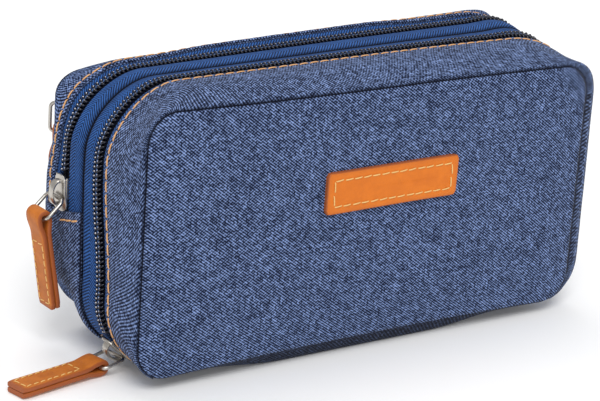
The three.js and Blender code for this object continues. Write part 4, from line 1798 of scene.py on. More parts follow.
@dataclass
class FrontCover:
    """The front cover: padded panel, gusset, label, half a zip, lining and net pocket."""

    body: str = "front_cover"
    stitch_in: float = 1.8
    label_low: tuple[float, float] = (-23.6, 53.5)
    label_high: tuple[float, float] = (31.9, 68.6)
    label_stitch_in: float = 2.9
    start: float = field(default_factory=lambda: SHELL.corner_section(LAYOUT.cover_angle))

    def fold(self, q: float) -> float:
        """The depth of the gusset's folded edge beside the zip."""
        return LAYOUT.front_zip_y(q) - LAYOUT.front_fold

    def relief(self, q: float, y: float, share: float) -> float:
        """The gusset's relief: a soft bulge, a dip along the stitches and slight puckers.

        Args:
            q: The section.
            y: The depth.
            share: The share of the cloth's width.

        Returns:
            The height there.
        """
        from_fold = self.fold(q) - y
        dip = -0.22 * bell(from_fold, self.stitch_in, 0.7)
        lip = 0.12 * bell(from_fold, 1.2, 0.9)
        spot = SHELL.point(q, y)
        bulge = 0.4 * bell(y - SHELL.front, 1.5, 0.9) + 0.3 * hump(share)
        wave = ripple(spot, 16.0, 0.35, 1.7) * hump(share)
        pucker = ripple(spot, 3.6, 0.1, 5.2)
        return dip + lip + bulge + wave + pucker

    def cloth(self) -> None:
        """The padded panel and the gusset with its topstitching."""
        panel = padded_panel(
            "front_panel_pad", front=True, back_offset=4.2, edge=3.8, seed=FRONT_SEED
        )
        settle(panel, Finish.DENIM, "denim", self.body, ["front_panel", "front_foam"])
        end = SHELL.mirrored(self.start)
        gusset = Strip(
            "front_gusset_cloth", self.start, end, SHELL.front, self.fold, Edge.SEAM, Edge.FOLD,
            across=12, relief=self.relief,
            # Painted shade along the seam with the front panel, wider at the right end.
            painted_shade=lambda q, y: beside(SHELL.front, y, 0.7 + 0.2 * smooth(5.2, 5.8, q)),
        )
        gusset.lay(Finish.SIDE_DENIM, "denim", self.body, "front_gusset", "front_panel_pad")
        route = Route(lambda q: self.fold(q) - self.stitch_in, self.start + 0.02, end - 0.02)
        seam = Seam("front_topstitch").along(route.place, route.length).build()
        settle(seam, Finish.TOPSTITCH, "denim", self.body)

    def zip_half(self) -> None:
        """The cover's zip tape and its half of the chain."""
        end = SHELL.mirrored(SHELL.corner_section(LAYOUT.far_angle))
        tape = Strip(
            "front_tape_cover_cloth", self.start, end, lambda q: self.fold(q) - 2.4,
            lambda q: LAYOUT.front_zip_y(q) - LAYOUT.tape_gap, Edge.BUTT, Edge.BUTT,
            inset=LAYOUT.tape_inset, thickness=LAYOUT.tape_thick, across=9,
            relief=lambda q, y, share: under_chain(LAYOUT.front_zip_y(q) - y),
            # Painted shade at the gusset's fold and beside the chain.
            painted_shade=lambda q, y: max(
                1 - smooth(0.1, 0.9, y - self.fold(q)), beside_chain(LAYOUT.front_zip_y(q), y)
            ),
        )
        tape.lay(Finish.TAPE, "zip_tape", self.body, "front_tape_cover", "front_gusset_cloth")
        Chain("front_chain_cover").lay(self.body, "front_coil_cover", front_route(), -1)

    def label(self) -> None:
        """The bare leather label and its stitches."""

        def depth(x: float, z: float) -> float:
            """The depth of the label's face."""
            return panel_surface(x, z, True, FRONT_SEED) - 1.5

        def spot(x: float, z: float) -> tuple[Vector, Vector]:
            """The point and the way out at a place of the label."""
            return Vector((x, depth(x, z), z)), Vector((0, -1, 0))

        low, high = self.label_low, self.label_high
        patch = slab(
            "label_leather", low, high, depth, thickness=1.7, radius=1.6, bevel=0.55, step=1.5
        )
        values = []
        for vertex in patch.data.vertices:
            x, z = vertex.co.x / MM, vertex.co.z / MM
            inset = min(x - low[0], high[0] - x, z - low[1], high[1] - z)
            values.append(1 - smooth(0.1, 0.75, inset))
        set_marks(patch.data, values)
        settle(patch, Finish.LABEL, "leather", self.body, ["label_patch"])
        inset = self.label_stitch_in
        x0, x1, z0, z1 = low[0] + inset, high[0] - inset, low[1] + inset, high[1] - inset
        seam = Seam("label_stitches", pitch=3.9, share=0.84, width=0.24, height=0.2, slant=0.16)
        corners = ((x0, z1), (x1, z1), (x1, z0), (x0, z0), (x0, z1))
        stitches = seam.around(corners, spot).build()
        settle(stitches, Finish.LABEL_THREAD, "leather", self.body)

    def inside(self) -> None:
        """The lining, and the net pocket with its elastic hem."""
        hem, lining, slot = "mesh_pocket_elastic", "front_lining_cloth", "lining"
        gusset = "front_gusset_lining_cloth"
        for piece in (
            Inner("mesh_pocket_hem", hem, Finish.ELASTIC, "elastic"),
            Inner("front_lining", lining, Finish.LINING, slot, 177, "front_panel_pad"),
            Inner("front_gusset_lining", gusset, Finish.LINING, slot, 368, "front_gusset_cloth"),
            Inner("mesh_pocket", "mesh_pocket_net", Finish.NET, "mesh", 170, lining, hem=(hem,)),
        ):
            piece.build(self.body)

    def build(self) -> None:
        """Builds the cover."""
        self.cloth()
        self.zip_half()
        self.label()
        self.inside()


def flat_cut(
    width: float, thing: bpy.types.Object, rests_on: str, hem: tuple[str, ...] = ()
) -> Cut:
    """The flat cut of a thin piece, from its width in millimetres and half of its surface.

    Args:
        width: One of its sides as cut.
        thing: The piece.
        rests_on: The piece that it is sewn to.
        hem: The pieces that are sewn along its edge.

    Returns:
        The cut.
    """
    half = sum(face.area for face in thing.data.polygons) / 2 / MM**2
    return Cut(width, half / width, (rests_on,), Hold.LAID, hem=hem)


def softened(node: str, name: str, bevel: float) -> bpy.types.Object:
    """A soft copy of a plain node: doubles merged, edges rounded and finely divided.

    Args:
        node: The CAD node.
        name: The new piece's name.
        bevel: The roundness of its edges in millimetres.

    Returns:
        The new piece.
    """
    thing = bpy.data.objects.new(name, bpy.data.objects[node].data.copy())
    bpy.context.collection.objects.link(thing)
    thing.data.materials.clear()
    edit(
        thing,
        lambda: bpy.ops.mesh.remove_doubles(threshold=SAME_CAD_POINT),
        lambda: bpy.ops.mesh.dissolve_limited(angle_limit=math.radians(1)),
    )
    rounding = thing.modifiers.new("round", "BEVEL")
    rounding.width = bevel * MM
    rounding.segments = 2
    rounding.limit_method = "ANGLE"
    rounding.angle_limit = math.radians(40)
    apply_modifiers(thing)
    shade(thing, 50)
    return thing


@dataclass(frozen=True)
class Inner:
    """A plain piece inside the case, made from a soft copy of its CAD node."""

    node: str
    name: str
    finish: Finish
    slot: str
    width: float = 0.0
    rests_on: str = ""
    bevel: float = 0.22
    hem: tuple[str, ...] = ()

    def build(self, body: str) -> None:
        """Builds the piece: a sheet where its width as cut is given, or padding.

        Args:
            body: The body that it rides on.
        """
        thing = softened(self.node, self.name, self.bevel)
        cut = flat_cut(self.width, thing, self.rests_on, self.hem) if self.width else None
        settle(thing, self.finish, self.slot, body, [self.node], cut=cut)


@dataclass
class CaseBody:
    """The fixed middle: bottom, lower ends and back, divider with its fittings, zip halves."""

    body: str = "case"

    def cloth_relief(self, q: float, y: float, share: float) -> float:
        """Uneven relief of the gussets.

        Args:
            q: The section.
            y: The depth.
            share: The share of the cloth's width.

        Returns:
            The height there.
        """
        spot = SHELL.point(q, y)
        wave = 0.2 + ripple(spot, 15.0, 0.35, 2.9)
        return wave * hump(share) + ripple(spot, 3.8, 0.08, 6)

    def bottom(self) -> None:
        """The bottom under the cover, whose ends turn with the cover at the corners."""
        reach = SHELL.corner_section(LAYOUT.cover_angle) - 0.012
        strip = Strip(
            "front_bottom_cloth", -reach, reach, SHELL.front, LAYOUT.middle - 0.15,
            Edge.SEAM, Edge.BUTT, across=24,
            # Painted shade along the front seam, and over the front of the bottom, darker towards
            # the seam.
            painted_shade=lambda q, y: max(beside(SHELL.front, y, 0.9), 0.8 * smooth(-17, -23, y)),
        )
        strip.lay(
            Finish.DENIM, "denim", self.body, "front_bottom_gusset", "rear_lower_gusset_cloth"
        )

    def lower_gusset(self) -> None:
        """The rear gusset below the zip's ends, with the short stitch on its left end."""
        reach = SHELL.left_section(LAYOUT.rear_end - 0.1)
        strip = Strip(
            "rear_lower_gusset_cloth", -reach, reach, LAYOUT.middle + 0.15, SHELL.rear,
            Edge.SEAM, Edge.SEAM, across=12, relief=self.cloth_relief, skew=self.raised,
            # Painted shade along the seams at the middle and at the back.
            painted_shade=lambda q, y: max(beside(LAYOUT.middle, y), beside(SHELL.rear, y)),
        )
        strip.lay(
            Finish.SIDE_DENIM, "denim", self.body, "rear_lower_gusset", "rear_panel_cloth"
        )
        reach = SHELL.left_section(LAYOUT.rear_end - 3.0)
        bundle = Bundle("gusset_end_stitches")
        seam = Seam("gusset_end_stitches", pitch=3.7)
        for end in (reach, -reach):
            out = SHELL.outward(end, 15.0)

            def place(far: float, end: float = end, out: Vector = out) -> tuple[Vector, Vector]:
                """The point and the way out at a distance along the stitches."""
                y = LAYOUT.middle + 1.2 + far
                return SHELL.point(self.raised(end, y), y, -0.2), out

            bundle.extend(seam.along(place, 11.2))
        settle(bundle.build(), Finish.TOPSTITCH, "denim", self.body)

    def raised(self, q: float, y: float) -> float:
        """The lower gusset's ends, which climb towards the front."""
        climb = 0.26 * max(LAYOUT.rear_zip - y, 0) / (SHELL.height - 2 * SHELL.radius)
        return q + math.copysign(climb * smooth(2.1, 2.45, abs(q)), q)

    def tapes(self) -> None:
        """The two tapes that meet in a fold over the divider."""
        start = SHELL.corner_section(LAYOUT.cover_angle)
        front = Strip(
            "front_tape_case_cloth", start, SHELL.mirrored(start),
            lambda q: LAYOUT.front_zip_y(q) + LAYOUT.tape_gap, lambda q: LAYOUT.middle_y(q) - 0.1,
            Edge.BUTT, Edge.SEAM,
            inset=LAYOUT.tape_inset, thickness=LAYOUT.tape_thick, across=10,
            relief=lambda q, y, share: under_chain(y - LAYOUT.front_zip_y(q)),
            # Painted shade in the middle fold's valley and beside the chain.
            painted_shade=lambda q, y: max(
                valley(LAYOUT.middle_y(q), y), beside_chain(LAYOUT.front_zip_y(q), y)
            ),
        )
        front.lay(Finish.TAPE, "zip_tape", self.body, "front_tape_case", "divider_board")
        end = SHELL.left_section(LAYOUT.rear_end - 4)
        rear = Strip(
            "rear_tape_case_cloth", end, SHELL.mirrored(end),
            lambda q: LAYOUT.middle_y(q) + 0.1, LAYOUT.rear_zip - LAYOUT.tape_gap,
            Edge.SEAM, Edge.BUTT,
            inset=LAYOUT.tape_inset - 0.25, thickness=LAYOUT.tape_thick, across=13,
            relief=lambda q, y, share: 0.35 * hump(share) - smooth(3.6, 2.6, LAYOUT.rear_zip - y),
            # Painted shade in the middle fold's valley and beside the chain.
            painted_shade=lambda q, y: max(
                valley(LAYOUT.middle_y(q), y), beside_chain(LAYOUT.rear_zip, y)
            ),
        )
        rear.lay(Finish.TAPE, "zip_tape", self.body, "rear_tape_case", "divider_board")

    def chains(self) -> None:
        """The case's halves of both long zips."""
        Chain("front_chain_case").lay(self.body, "front_coil_case", front_route(), 1)
        Chain("rear_chain_case").lay(self.body, "rear_coil_case", rear_route(), -1)

    def inside(self) -> None:
        """The divider and what is sewn to it, and the lower back's lining."""
        board, pad, holder = "divider_board", "rear_foam_lower_pad", "meter_band_elastic"
        lining, elastic = "rear_lining_lower_cloth", Finish.ELASTIC
        for piece in (
            Inner("divider_panel", board, Finish.BOARD, "lining", bevel=0.7),
            Inner("meter_band", holder, elastic, "elastic", 30, board, 0.25),
            Inner("pen_loops", "pen_loops_elastic", elastic, "elastic", 24, board, 0.25),
            Inner("slip_pocket", "slip_pocket_cloth", Finish.LINING, "lining", 168, board, 0.2),
            Inner("rear_foam_lower", pad, Finish.LINING, "foam", bevel=0.4),
            Inner("rear_lining_lower", lining, Finish.LINING, "lining", 171, pad, 0.2),
        ):
            piece.build(self.body)

    def build(self) -> None:
        """Builds the middle."""
        self.bottom()
        self.lower_gusset()
        self.tapes()
        self.chains()
        self.inside()


def front_route() -> Route:
    """The path of the front zip's chain.

    Returns:
        The path, from the slider on.
    """
    turn = math.degrees(LAYOUT.slider_clear() / (SHELL.radius - LAYOUT.chain_inset))
    start = SHELL.corner_section(LAYOUT.slider_angle + turn)
    end = SHELL.mirrored(SHELL.corner_section(LAYOUT.far_angle))
    return Route(LAYOUT.front_zip_y, start, end, LAYOUT.chain_inset)


def rear_route() -> Route:
    """The path of the rear zip's chain.

    Returns:
        The path, from the slider on.
    """
    start = SHELL.left_section(LAYOUT.rear_slider + LAYOUT.slider_clear())
    end = SHELL.mirrored(SHELL.left_section(LAYOUT.rear_end + LAYOUT.rear_stop))
    return Route(LAYOUT.rear_zip, start, end, LAYOUT.chain_inset)


@dataclass
class RearFlap:
    """The back: one sewn panel across its middle, which the flap does not carry, its zip half and
    its pocket.
    """

    body: str = "rear_flap"
    fold: float = LAYOUT.rear_zip + LAYOUT.rear_fold
    stitch_in: float = 1.5
    window: float = 3.8

    def relief(self, q: float, y: float, share: float) -> float:
        """The relief of the narrow gusset behind the rear zip.

        Args:
            q: The section.
            y: The depth.
            share: The share of the cloth's width.

        Returns:
            The height there.
        """
        from_fold = y - self.fold
        dip = -0.22 * bell(from_fold, self.stitch_in, 0.7)
        lip = 0.15 * bell(from_fold, 0.9, 0.8)
        return dip + lip + ripple(SHELL.point(q, y), 3.6, 0.1, 7.7)

    def bend(self) -> tuple[str, str, Vector, Vector]:
        """Where cloth goes over from the fixed lower back to the flap, in metres."""
        hinge, reach = Vector((0, 0.0348, 0.0485)), Vector((0, 0, 0.0045))
        return "case", self.body, hinge - reach, hinge + reach

    def panel(self) -> None:
        """The back cloth with its pocket opening."""
        seam = SHELL.rear
        half, zip_z = 90.0, LAYOUT.pocket_zip
        pad = padded_panel(
            "rear_panel_cloth", front=False, back_offset=1.0, edge=1.3, seed=REAR_SEED
        )
        low = (-half, seam - 6, zip_z - self.window)
        cut = box_between("window", low, (half, seam + 9, zip_z + self.window))
        opening = pad.modifiers.new("opening", "BOOLEAN")
        opening.operation = "DIFFERENCE"
        opening.solver = "EXACT"
        opening.object = cut
        apply_modifiers(pad)
        bpy.data.objects.remove(cut)
        shade(pad, 40)
        back = ["rear_panel_lower", "rear_panel_upper"]
        settle(
            pad, Finish.DENIM, "denim", self.bend(), back,
            cut=flat_cut(185.6, pad, "rear_foam_upper_pad"),
        )

    def gusset(self) -> None:
        """The narrow gusset behind the rear zip, with its topstitching."""
        start = SHELL.left_section(LAYOUT.rear_end + 0.1)
        end = SHELL.mirrored(start)
        strip = Strip(
            "rear_upper_gusset_cloth", start, end, self.fold, SHELL.rear, Edge.FOLD, Edge.SEAM,
            # Painted shade along the seam with the back panel.
            across=7, relief=self.relief, painted_shade=lambda q, y: beside(SHELL.rear, y),
        )
        strip.lay(
            Finish.SIDE_DENIM, "denim", self.body, "rear_upper_gusset", "rear_panel_cloth"
        )
        route = Route(self.fold + self.stitch_in, start + 0.01, end - 0.01)
        seam = Seam("rear_topstitch", seed=2).along(route.place, route.length).build()
        settle(seam, Finish.TOPSTITCH, "denim", self.body)

    def zip_half(self) -> None:
        """The flap's zip tape and its half of the chain."""
        start = SHELL.left_section(LAYOUT.rear_end + 0.3)
        strip = Strip(
            "rear_tape_flap_cloth", start, SHELL.mirrored(start), LAYOUT.rear_zip + LAYOUT.tape_gap,
            self.fold + 2.0, Edge.BUTT, Edge.BUTT,
            inset=LAYOUT.tape_inset, thickness=LAYOUT.tape_thick, across=10,
            relief=lambda q, y, share: under_chain(y - LAYOUT.rear_zip),
            # Painted shade at the gusset's fold and beside the chain.
            painted_shade=lambda q, y: max(
                1 - smooth(0.1, 0.9, self.fold - y), beside_chain(LAYOUT.rear_zip, y)
            ),
        )
        strip.lay(
            Finish.TAPE, "zip_tape", self.body, "rear_tape_flap", "rear_upper_gusset_cloth"
        )
        Chain("rear_chain_flap").lay(self.body, "rear_coil_flap", rear_route(), 1)

    def pocket(self) -> None:
        """The pocket's tapes and chain."""
        half, reach, z, y = 86.0, 90.6, LAYOUT.pocket_zip, LAYOUT.pocket_y
        start = LAYOUT.pocket_slider + LAYOUT.slider_clear()

        def depth(x: float, height: float) -> float:
            """The depth of the tapes' face."""
            return y + 0.25 + under_chain(abs(height - z))

        def place(distance: float) -> tuple[Vector, Vector]:
            """The point and the way out at a distance along the zip."""
            return Vector((start + distance, y, z)), Vector((0, 1, 0))

        for side, word in ((1, "upper"), (-1, "lower")):
            low, high = sorted((z + side * LAYOUT.tape_gap, z + side * 7.4))
            tape = slab(
                f"pocket_tape_{word}_cloth", (-reach, low), (reach, high), depth,
                thickness=-LAYOUT.tape_thick, radius=0.3, bevel=0.15, step=3.0,
            )
            share = (high - low) / LEAST_CUT
            settle(
                tape, Finish.TAPE, "zip_tape", self.body, [f"pocket_tape_{word}"],
                cut=Cut(2 * reach, LEAST_CUT, ("rear_panel_cloth",), share=share),
            )
            chain = Chain(f"pocket_chain_{word}")
            made = chain.build(place, half - start - 2, Vector((0, 0, 1)), side)
            settle(made, Finish.COIL, "zip_coil", self.body, [f"pocket_coil_{word}"])

    def inside(self) -> None:
        """The flap's padding and lining."""
        pad, lining = "rear_foam_upper_pad", "rear_lining_upper_cloth"
        Inner("rear_foam_upper", pad, Finish.LINING, "foam", bevel=0.4).build(self.body)
        piece = Inner("rear_lining_upper", lining, Finish.LINING, "lining", 171, pad, 0.2)
        piece.build(self.body)

    def build(self) -> None:
        """Builds the back."""
        self.panel()
        self.gusset()
        self.zip_half()
        self.pocket()
        self.inside()


def box_between(name: str, low: Sequence[float], high: Sequence[float]) -> bpy.types.Object:
    """A box between two corners, in millimetres.

    Args:
        name: Its name.
        low: Its lowest corner.
        high: Its highest corner.

    Returns:
        The box.
    """
    bpy.ops.object.select_all(action="DESELECT")
    centre = [(a + b) / 2 * MM for a, b in zip(low, high)]
    bpy.ops.mesh.primitive_cube_add(size=1, location=centre)
    box = bpy.context.object
    box.name = name
    box.scale = [(b - a) * MM for a, b in zip(low, high)]
    bpy.ops.object.transform_apply(location=True, rotation=True, scale=True)
    return box


def band(
    path: Sequence[tuple[float, float]],
    corners: Sequence[tuple[float, float]],
    size: Callable[[int], tuple[float, float]],
    side: int,
) -> list[list[Vector]]:
    """The cross-sections of a band along a path in the XZ plane.

    Args:
        path: Its middle line as x and z.
        corners: A cross-section as shares of half the width and half the thickness.
        size: Half the width and half the thickness at each point of the path.
        side: 1 where the thickness is counted to the right of the path, -1 to the left.

    Returns:
        One ring of points for each point of the path.
    """
    rings = []
    for i, (x, z) in enumerate(path):
        before, after = path[max(i - 1, 0)], path[min(i + 1, len(path) - 1)]
        tangent = Vector((after[0] - before[0], 0, after[1] - before[1])).normalized()
        normal = Vector((tangent.z, 0, -tangent.x)) * side
        wide, thick = size(i)
        centre = Vector((x, 0, z))
        rings.append([centre + Vector((0, wide * a, 0)) + normal * (thick * b) for a, b in corners])
    return rings


@dataclass
class ZipPull:
    """A slider with its ring and leather pull, in a frame along the zip, across it and out."""

    prefix: str
    at: Vector
    along: Vector
    across: Vector
    ring_frame: Matrix
    pull_frame: Matrix
    neck: float = 4.2
    moved: Vector = field(default_factory=Vector)

    def place(self, thing: bpy.types.Object, where: Matrix) -> None:
        """Puts a piece into its frame, moved out of true with the case."""
        thing.data.transform(metres(Matrix.Translation(self.moved) @ where))

    def plate(self, low: float, high: float) -> bpy.types.Object:
        """One plate of the slider: wide at the mouth, narrow at the tail, edges rounded.

        Args:
            low: The height of its underside.
            high: The height of its top.

        Returns:
            The plate.
        """
        outline, half = self.plate_points(), LAYOUT.slider_half
        rings = []
        for inset, z in (
            (0.35, low), (0.08, low + 0.12), (0.0, low + 0.35),
            (0.0, high - 0.35), (0.08, high - 0.12), (0.35, high),
        ):
            rings.append([
                Vector((x * (1 - inset / half), y * (1 - inset / 4.0), z)) for x, y in outline
            ])
        return loft(f"{self.prefix}_plate", rings, angle=35)

    def plate_points(self) -> list[tuple[float, float]]:
        """The plate's outline, tail towards +X.

        Returns:
            The corners as x and y.
        """
        half, narrow, wide = LAYOUT.slider_half, 3.2, 4.4
        upper = [
            (half, 0.9), (half - 0.35, 2.1), (half - 1.4, narrow - 0.1), (half - 3.4, narrow),
            (0.6, narrow + 0.15), (-1.6, narrow + 0.75), (-3.4, wide), (-4.7, wide - 0.25),
            (-5.7, wide - 1.2), (-6.15, 2.0), (-half, 0.8),
        ]
        return upper + [(x, -y) for x, y in reversed(upper)]

    def bridge(self) -> bpy.types.Object:
        """The broad arch over the slider, which the ring hangs from.

        Returns:
            The bridge.
        """
        foot, top, half, steps = 1.9, 5.35, 4.15, 16
        turns = [math.pi * i / steps for i in range(steps + 1)]
        path = [(half * math.cos(t), foot + (top - foot) * math.sin(t) ** 0.62) for t in turns]
        corners = [(1, 0.55), (0.8, 1), (-0.8, 1), (-1, 0.55)]
        corners += [(a, -b) for a, b in reversed(corners)]

        def size(i: int) -> tuple[float, float]:
            """Half the width and half the thickness at a point of the path."""
            return 1.15 + 0.5 * abs(math.cos(turns[i])), 0.46

        return loft(f"{self.prefix}_bridge", band(path, corners, size, 1), angle=50)

    def slider(self) -> None:
        """The whole slider."""
        foot = ((-5.6, -0.7), (-5.6, 0.7), (-4.4, 0.35), (-4.4, -0.35))
        post = loft(
            f"{self.prefix}_post", [[Vector((x, y, z)) for x, y in foot] for z in (-1.8, 1.8)]
        )
        lip = ((-0.35, 0.9), (0.32, 0.9), (0.32, 1.5), (-0.35, 1.5))
        flanges = []
        for side in (-1, 1):
            for level in (-1, 1):
                rings = []
                for x in (-1.6, 0.5, 3.0, 5.6):
                    y = side * (3.35 + 0.25 * smooth(0.5, -1.6, x))
                    rings.append([Vector((x, y + side * dy, level * dz)) for dy, dz in lip])
                flanges.append(loft(f"{self.prefix}_flange", rings))
        pieces = [self.plate(1.3, 2.3), self.plate(-2.3, -1.3), self.bridge(), post, *flanges]
        whole = joined(f"{self.prefix}_slider_metal", pieces)
        self.place(whole, framed(self.at, self.along, self.across))
        settle(
            whole, Finish.NICKEL, "nickel", f"{self.prefix}_slider_body",
            [f"{self.prefix}_slider"], soft=False,
        )

    def ring(self) -> None:
        """The wire ring."""
        half, length, bend = 5.1, 8.5, 1.8
        path = []
        for cx, cy, quarter in (
            (-bend, half - bend, 0), (-length + bend, half - bend, 1),
            (-length + bend, bend - half, 2), (-bend, bend - half, 3),
        ):
            for i in range(7):
                turn = (quarter + i / 6) * math.pi / 2
                path.append(Vector((cx + bend * math.cos(turn), cy + bend * math.sin(turn), 0)))
        wire = tube(path, 0.65, 12, closed=True)
        made = loft(f"{self.prefix}_ring_wire", wire, looped=True, angle=60)
        self.place(made, self.ring_frame)
        settle(
            made, Finish.NICKEL, "nickel", f"{self.prefix}_ring_body",
            [f"{self.prefix}_ring"], soft=False,
        )

    def strap_path(self) -> list[tuple[float, float]]:
        """The strap's middle line as length and height: down one side, round the eye and back.

        Returns:
            The points, from one end of the strap to the other.
        """
        length, layer, eye = 33.0, 0.93, 1.95
        front = [(-length + 26.0 * i / 13, layer) for i in range(14)]
        neck = [(-6.0, 1.0), (-5.0, 1.15), (-4.0, 1.38), (-3.0, 1.62), (-2.0, 1.82), (-1.0, 1.93)]
        loop = [
            (eye * math.sin(t), eye * math.cos(t)) for t in (math.pi * k / 10 for k in range(11))
        ]
        half = front + neck + loop[:5]
        return half + [(eye, 0.0)] + [(x, -z) for x, z in reversed(half)]

    def width_at(self, x: float) -> float:
        """Half the strap's width at a distance from the eye.

        Args:
            x: The place, which is negative from the eye on.

        Returns:
            Half the width there.
        """
        neck = self.neck + (4.45 - self.neck) * smooth(-2.5, -9.0, x)
        tip = 1 - smooth(-31.0, -33.2, x) * 0.12
        return (neck + 0.25 * smooth(-14, -30, x)) * tip

    def pull(self) -> None:
        """The leather pull with its stitches."""
        path = self.strap_path()
        corners = [
            (1.0, 0.35), (0.965, 0.8), (0.9, 1.0), (0.45, 1.0), (0, 1.0), (-0.45, 1.0),
            (-0.9, 1.0), (-0.965, 0.8), (-1.0, 0.35), (-1.0, -0.6), (-0.94, -0.95), (-0.45, -1.0),
            (0, -1.0), (0.45, -1.0), (0.94, -0.95), (1.0, -0.6),
        ]

        def size(i: int) -> tuple[float, float]:
            """Half the width and half the thickness at a point of the path."""
            return self.width_at(path[i][0]), 0.82

        strap = loft(f"{self.prefix}_pull_leather", band(path, corners, size, -1), angle=50)
        values = []
        for vertex in strap.data.vertices:
            spot = vertex.co / MM
            side = smooth(0.9, 0.985, abs(spot.y) / self.width_at(spot.x))
            values.append(max(side, smooth(-32.4, -32.9, spot.x)))
        set_marks(strap.data, values)
        self.place(strap, self.pull_frame)
        body = f"{self.prefix}_pull_body"
        settle(strap, Finish.PULL, "leather", body, [f"{self.prefix}_pull"], soft=False)
        self.stitches(body)

    def stitches(self, body: str) -> None:
        """The rectangle of thread on both faces of the pull.

        Args:
            body: The body that they ride on.
        """
        name = f"{self.prefix}_pull_stitches"
        bundle = Bundle(name)
        seam = Seam(name, pitch=2.7, share=0.74, width=0.2, height=0.13, slant=0.12)
        x0, x1, y1 = -31.2, -9.2, 3.25
        corners = [(x1, y1), (x0, y1), (x0, -y1), (x1, -y1), (x1, y1)]
        for face in (1, -1):
            def spot(x: float, y: float, face: int = face) -> tuple[Vector, Vector]:
                """The point and the way out at a place of this face."""
                return Vector((x, y, face * 1.75)), Vector((0, 0, face))

            bundle.extend(seam.around(corners, spot))
        made = bundle.build()
        self.place(made, self.pull_frame)
        settle(made, Finish.LABEL_THREAD, "leather", body, soft=False)

    def build(self) -> None:
        """Builds the slider, ring and pull."""
        self.slider()
        self.ring()
        self.pull()


def metres(matrix: Matrix) -> Matrix:
    """A frame in millimetres as one for a mesh in metres.

    Args:
        matrix: The frame in millimetres.

    Returns:
        The frame in metres.
    """
    moved = matrix.copy()
    moved.translation = matrix.translation * MM
    return moved


def framed(position: Sequence[float], x_axis: Sequence[float], y_axis: Sequence[float]) -> Matrix:
    """A frame from its origin and two axes.

    Args:
        position: Its origin.
        x_axis: Its X axis, of any length.
        y_axis: Its Y axis, which is made square to the first.

    Returns:
        The frame.
    """
    x = Vector(x_axis).normalized()
    y = (Vector(y_axis) - x * x.dot(Vector(y_axis))).normalized()
    basis = Matrix((x, y, x.cross(y))).transposed().to_4x4()
    return Matrix.Translation(Vector(position)) @ basis


# Where each ring and pull lies: its origin, its X axis and its Y axis.
FRONT_RING = framed((-85.50, -5.30, 4.62), (0.9728, 0.1045, 0.2068), (-0.1022, 0.9945, -0.0217))
FRONT_PULL = framed((-93.77, -6.19, 2.86), (0.9875, 0.1548, 0.0291), (-0.1541, 0.9878, -0.0233))
REAR_RING = framed((-96.0, 19.6, 53.9), (0.7254, 0, 0.6884), (0, 1, 0))
REAR_PULL = framed((-102.17, 19.6, 48.05), (-0.1650, 0, 0.9863), (0, 1, 0))
POCKET_RING = framed((-83.3, 35.91, 75.0), (0.7880, -0.6157, 0), (0, 0, -1))
POCKET_PULL = framed((-86.65, 38.52, 69.9), (-0.1280, -0.1638, 0.9781), (0.7880, -0.6157, 0))


def zip_pulls() -> list[ZipPull]:
    """The three sliders with their rings and pulls, as they lie.

    Returns:
        Those of the front zip, the rear zip and the back pocket.
    """
    turn = math.radians(LAYOUT.slider_angle)
    return [
        ZipPull(
            "front", Vector((-84.13, -5.30, 8.09)), Vector((-math.cos(turn), 0, math.sin(turn))),
            Vector((0, 1, 0)), FRONT_RING, FRONT_PULL,
        ),
        ZipPull(
            "rear", Vector((-92.5, LAYOUT.rear_zip, LAYOUT.rear_slider)), Vector((0, 0, 1)),
            Vector((0, 1, 0)), REAR_RING, REAR_PULL,
        ),
        ZipPull(
            "pocket", Vector((LAYOUT.pocket_slider, LAYOUT.pocket_y, LAYOUT.pocket_zip)),
            Vector((1, 0, 0)), Vector((0, 0, -1)), POCKET_RING, POCKET_PULL, neck=3.0,
            moved=Vector((3.5, 0.5, -0.8)),
        ),
    ]


# Studio


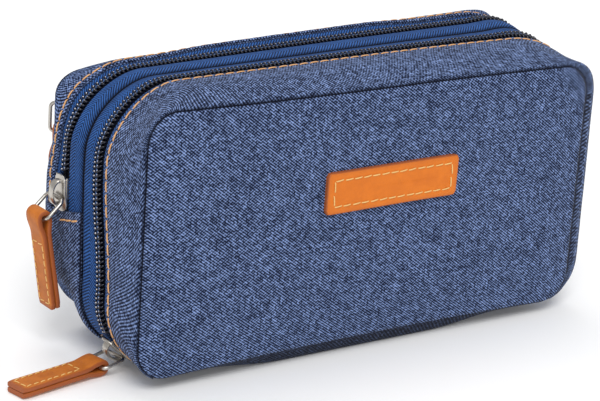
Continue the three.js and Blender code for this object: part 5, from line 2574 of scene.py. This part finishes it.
@dataclass(frozen=True)
class Studio:
    """Camera, floor and light."""

    lens: float = 145.35
    eye: Vector = Vector((-0.48171, -0.64007, 0.31295))
    forward: Vector = Vector((0.56249, 0.76339, -0.31754))
    right: Vector = Vector((0.81640, -0.57354, 0.06735))
    sky: float = 0.52
    suns: tuple[tuple[float, Vector], ...] = (
        (1.65, Vector((-0.45, -0.75, 1.05))), (0.6, Vector((0.1, 0.38, 1.3))),
    )

    def camera(self) -> None:
        """The camera at the photograph's viewing angle."""
        data = bpy.data.cameras.new("camera")
        data.lens = self.lens
        data.clip_start = 0.01
        thing = bpy.data.objects.new("camera", data)
        bpy.context.collection.objects.link(thing)
        back = -self.forward.normalized()
        right = (self.right - back * back.dot(self.right)).normalized()
        up = back.cross(right)
        turned = Matrix((right, up, back)).transposed().to_4x4()
        thing.matrix_world = Matrix.Translation(self.eye) @ turned
        bpy.context.scene.camera = thing

    def floor(self) -> None:
        """A plain pale floor."""
        bpy.ops.object.select_all(action="DESELECT")
        bpy.ops.mesh.primitive_plane_add(size=6.0, location=(0, 0, -0.0002))
        plane = bpy.context.object
        plane.name = "floor"
        s = Shader("floor")
        s.finish(
            (0.96, 0.96, 0.96), 0.9, Specular_IOR_Level=0.0, Emission_Strength=0.06,
            Emission_Color=(1.0, 1.0, 1.0, 1.0),
        )
        plane.data.materials.append(s.material)

    def light(self) -> None:
        """Two soft suns, one in front and one overhead, and an even sky."""
        for energy, way in self.suns:
            data = bpy.data.lights.new("sun", "SUN")
            data.energy = energy
            data.angle = math.radians(30)
            thing = bpy.data.objects.new("sun", data)
            thing.rotation_euler = way.to_track_quat("Z", "Y").to_euler()
            bpy.context.collection.objects.link(thing)
        world = bpy.context.scene.world or bpy.data.worlds.new("world")
        bpy.context.scene.world = world
        world.use_nodes = True
        nodes = Nodes(world.node_tree)
        camera = nodes.node("ShaderNodeLightPath", {}, {}, "Is Camera Ray")
        through = nodes.node("ShaderNodeLightPath", {}, {}, "Is Transmission Ray")
        seen = nodes.math("MAXIMUM", camera, through)
        strength = nodes.node("ShaderNodeMapRange", {}, {0: seen, 3: self.sky, 4: 1.0})
        white = (1.0, 1.0, 1.0, 1.0)
        background = nodes.node("ShaderNodeBackground", {}, {0: white, 1: strength})
        nodes.node("ShaderNodeOutputWorld", {}, {0: background})
        bpy.context.scene.view_settings.view_transform = "Standard"

    def build(self) -> None:
        """Builds the studio."""
        self.camera()
        self.floor()
        self.light()


def main() -> None:
    """Builds the studio and the case."""
    Studio().build()
    FrontCover().build()
    CaseBody().build()
    RearFlap().build()
    for pull in zip_pulls():
        pull.build()


if __name__ == "__main__":
    main()
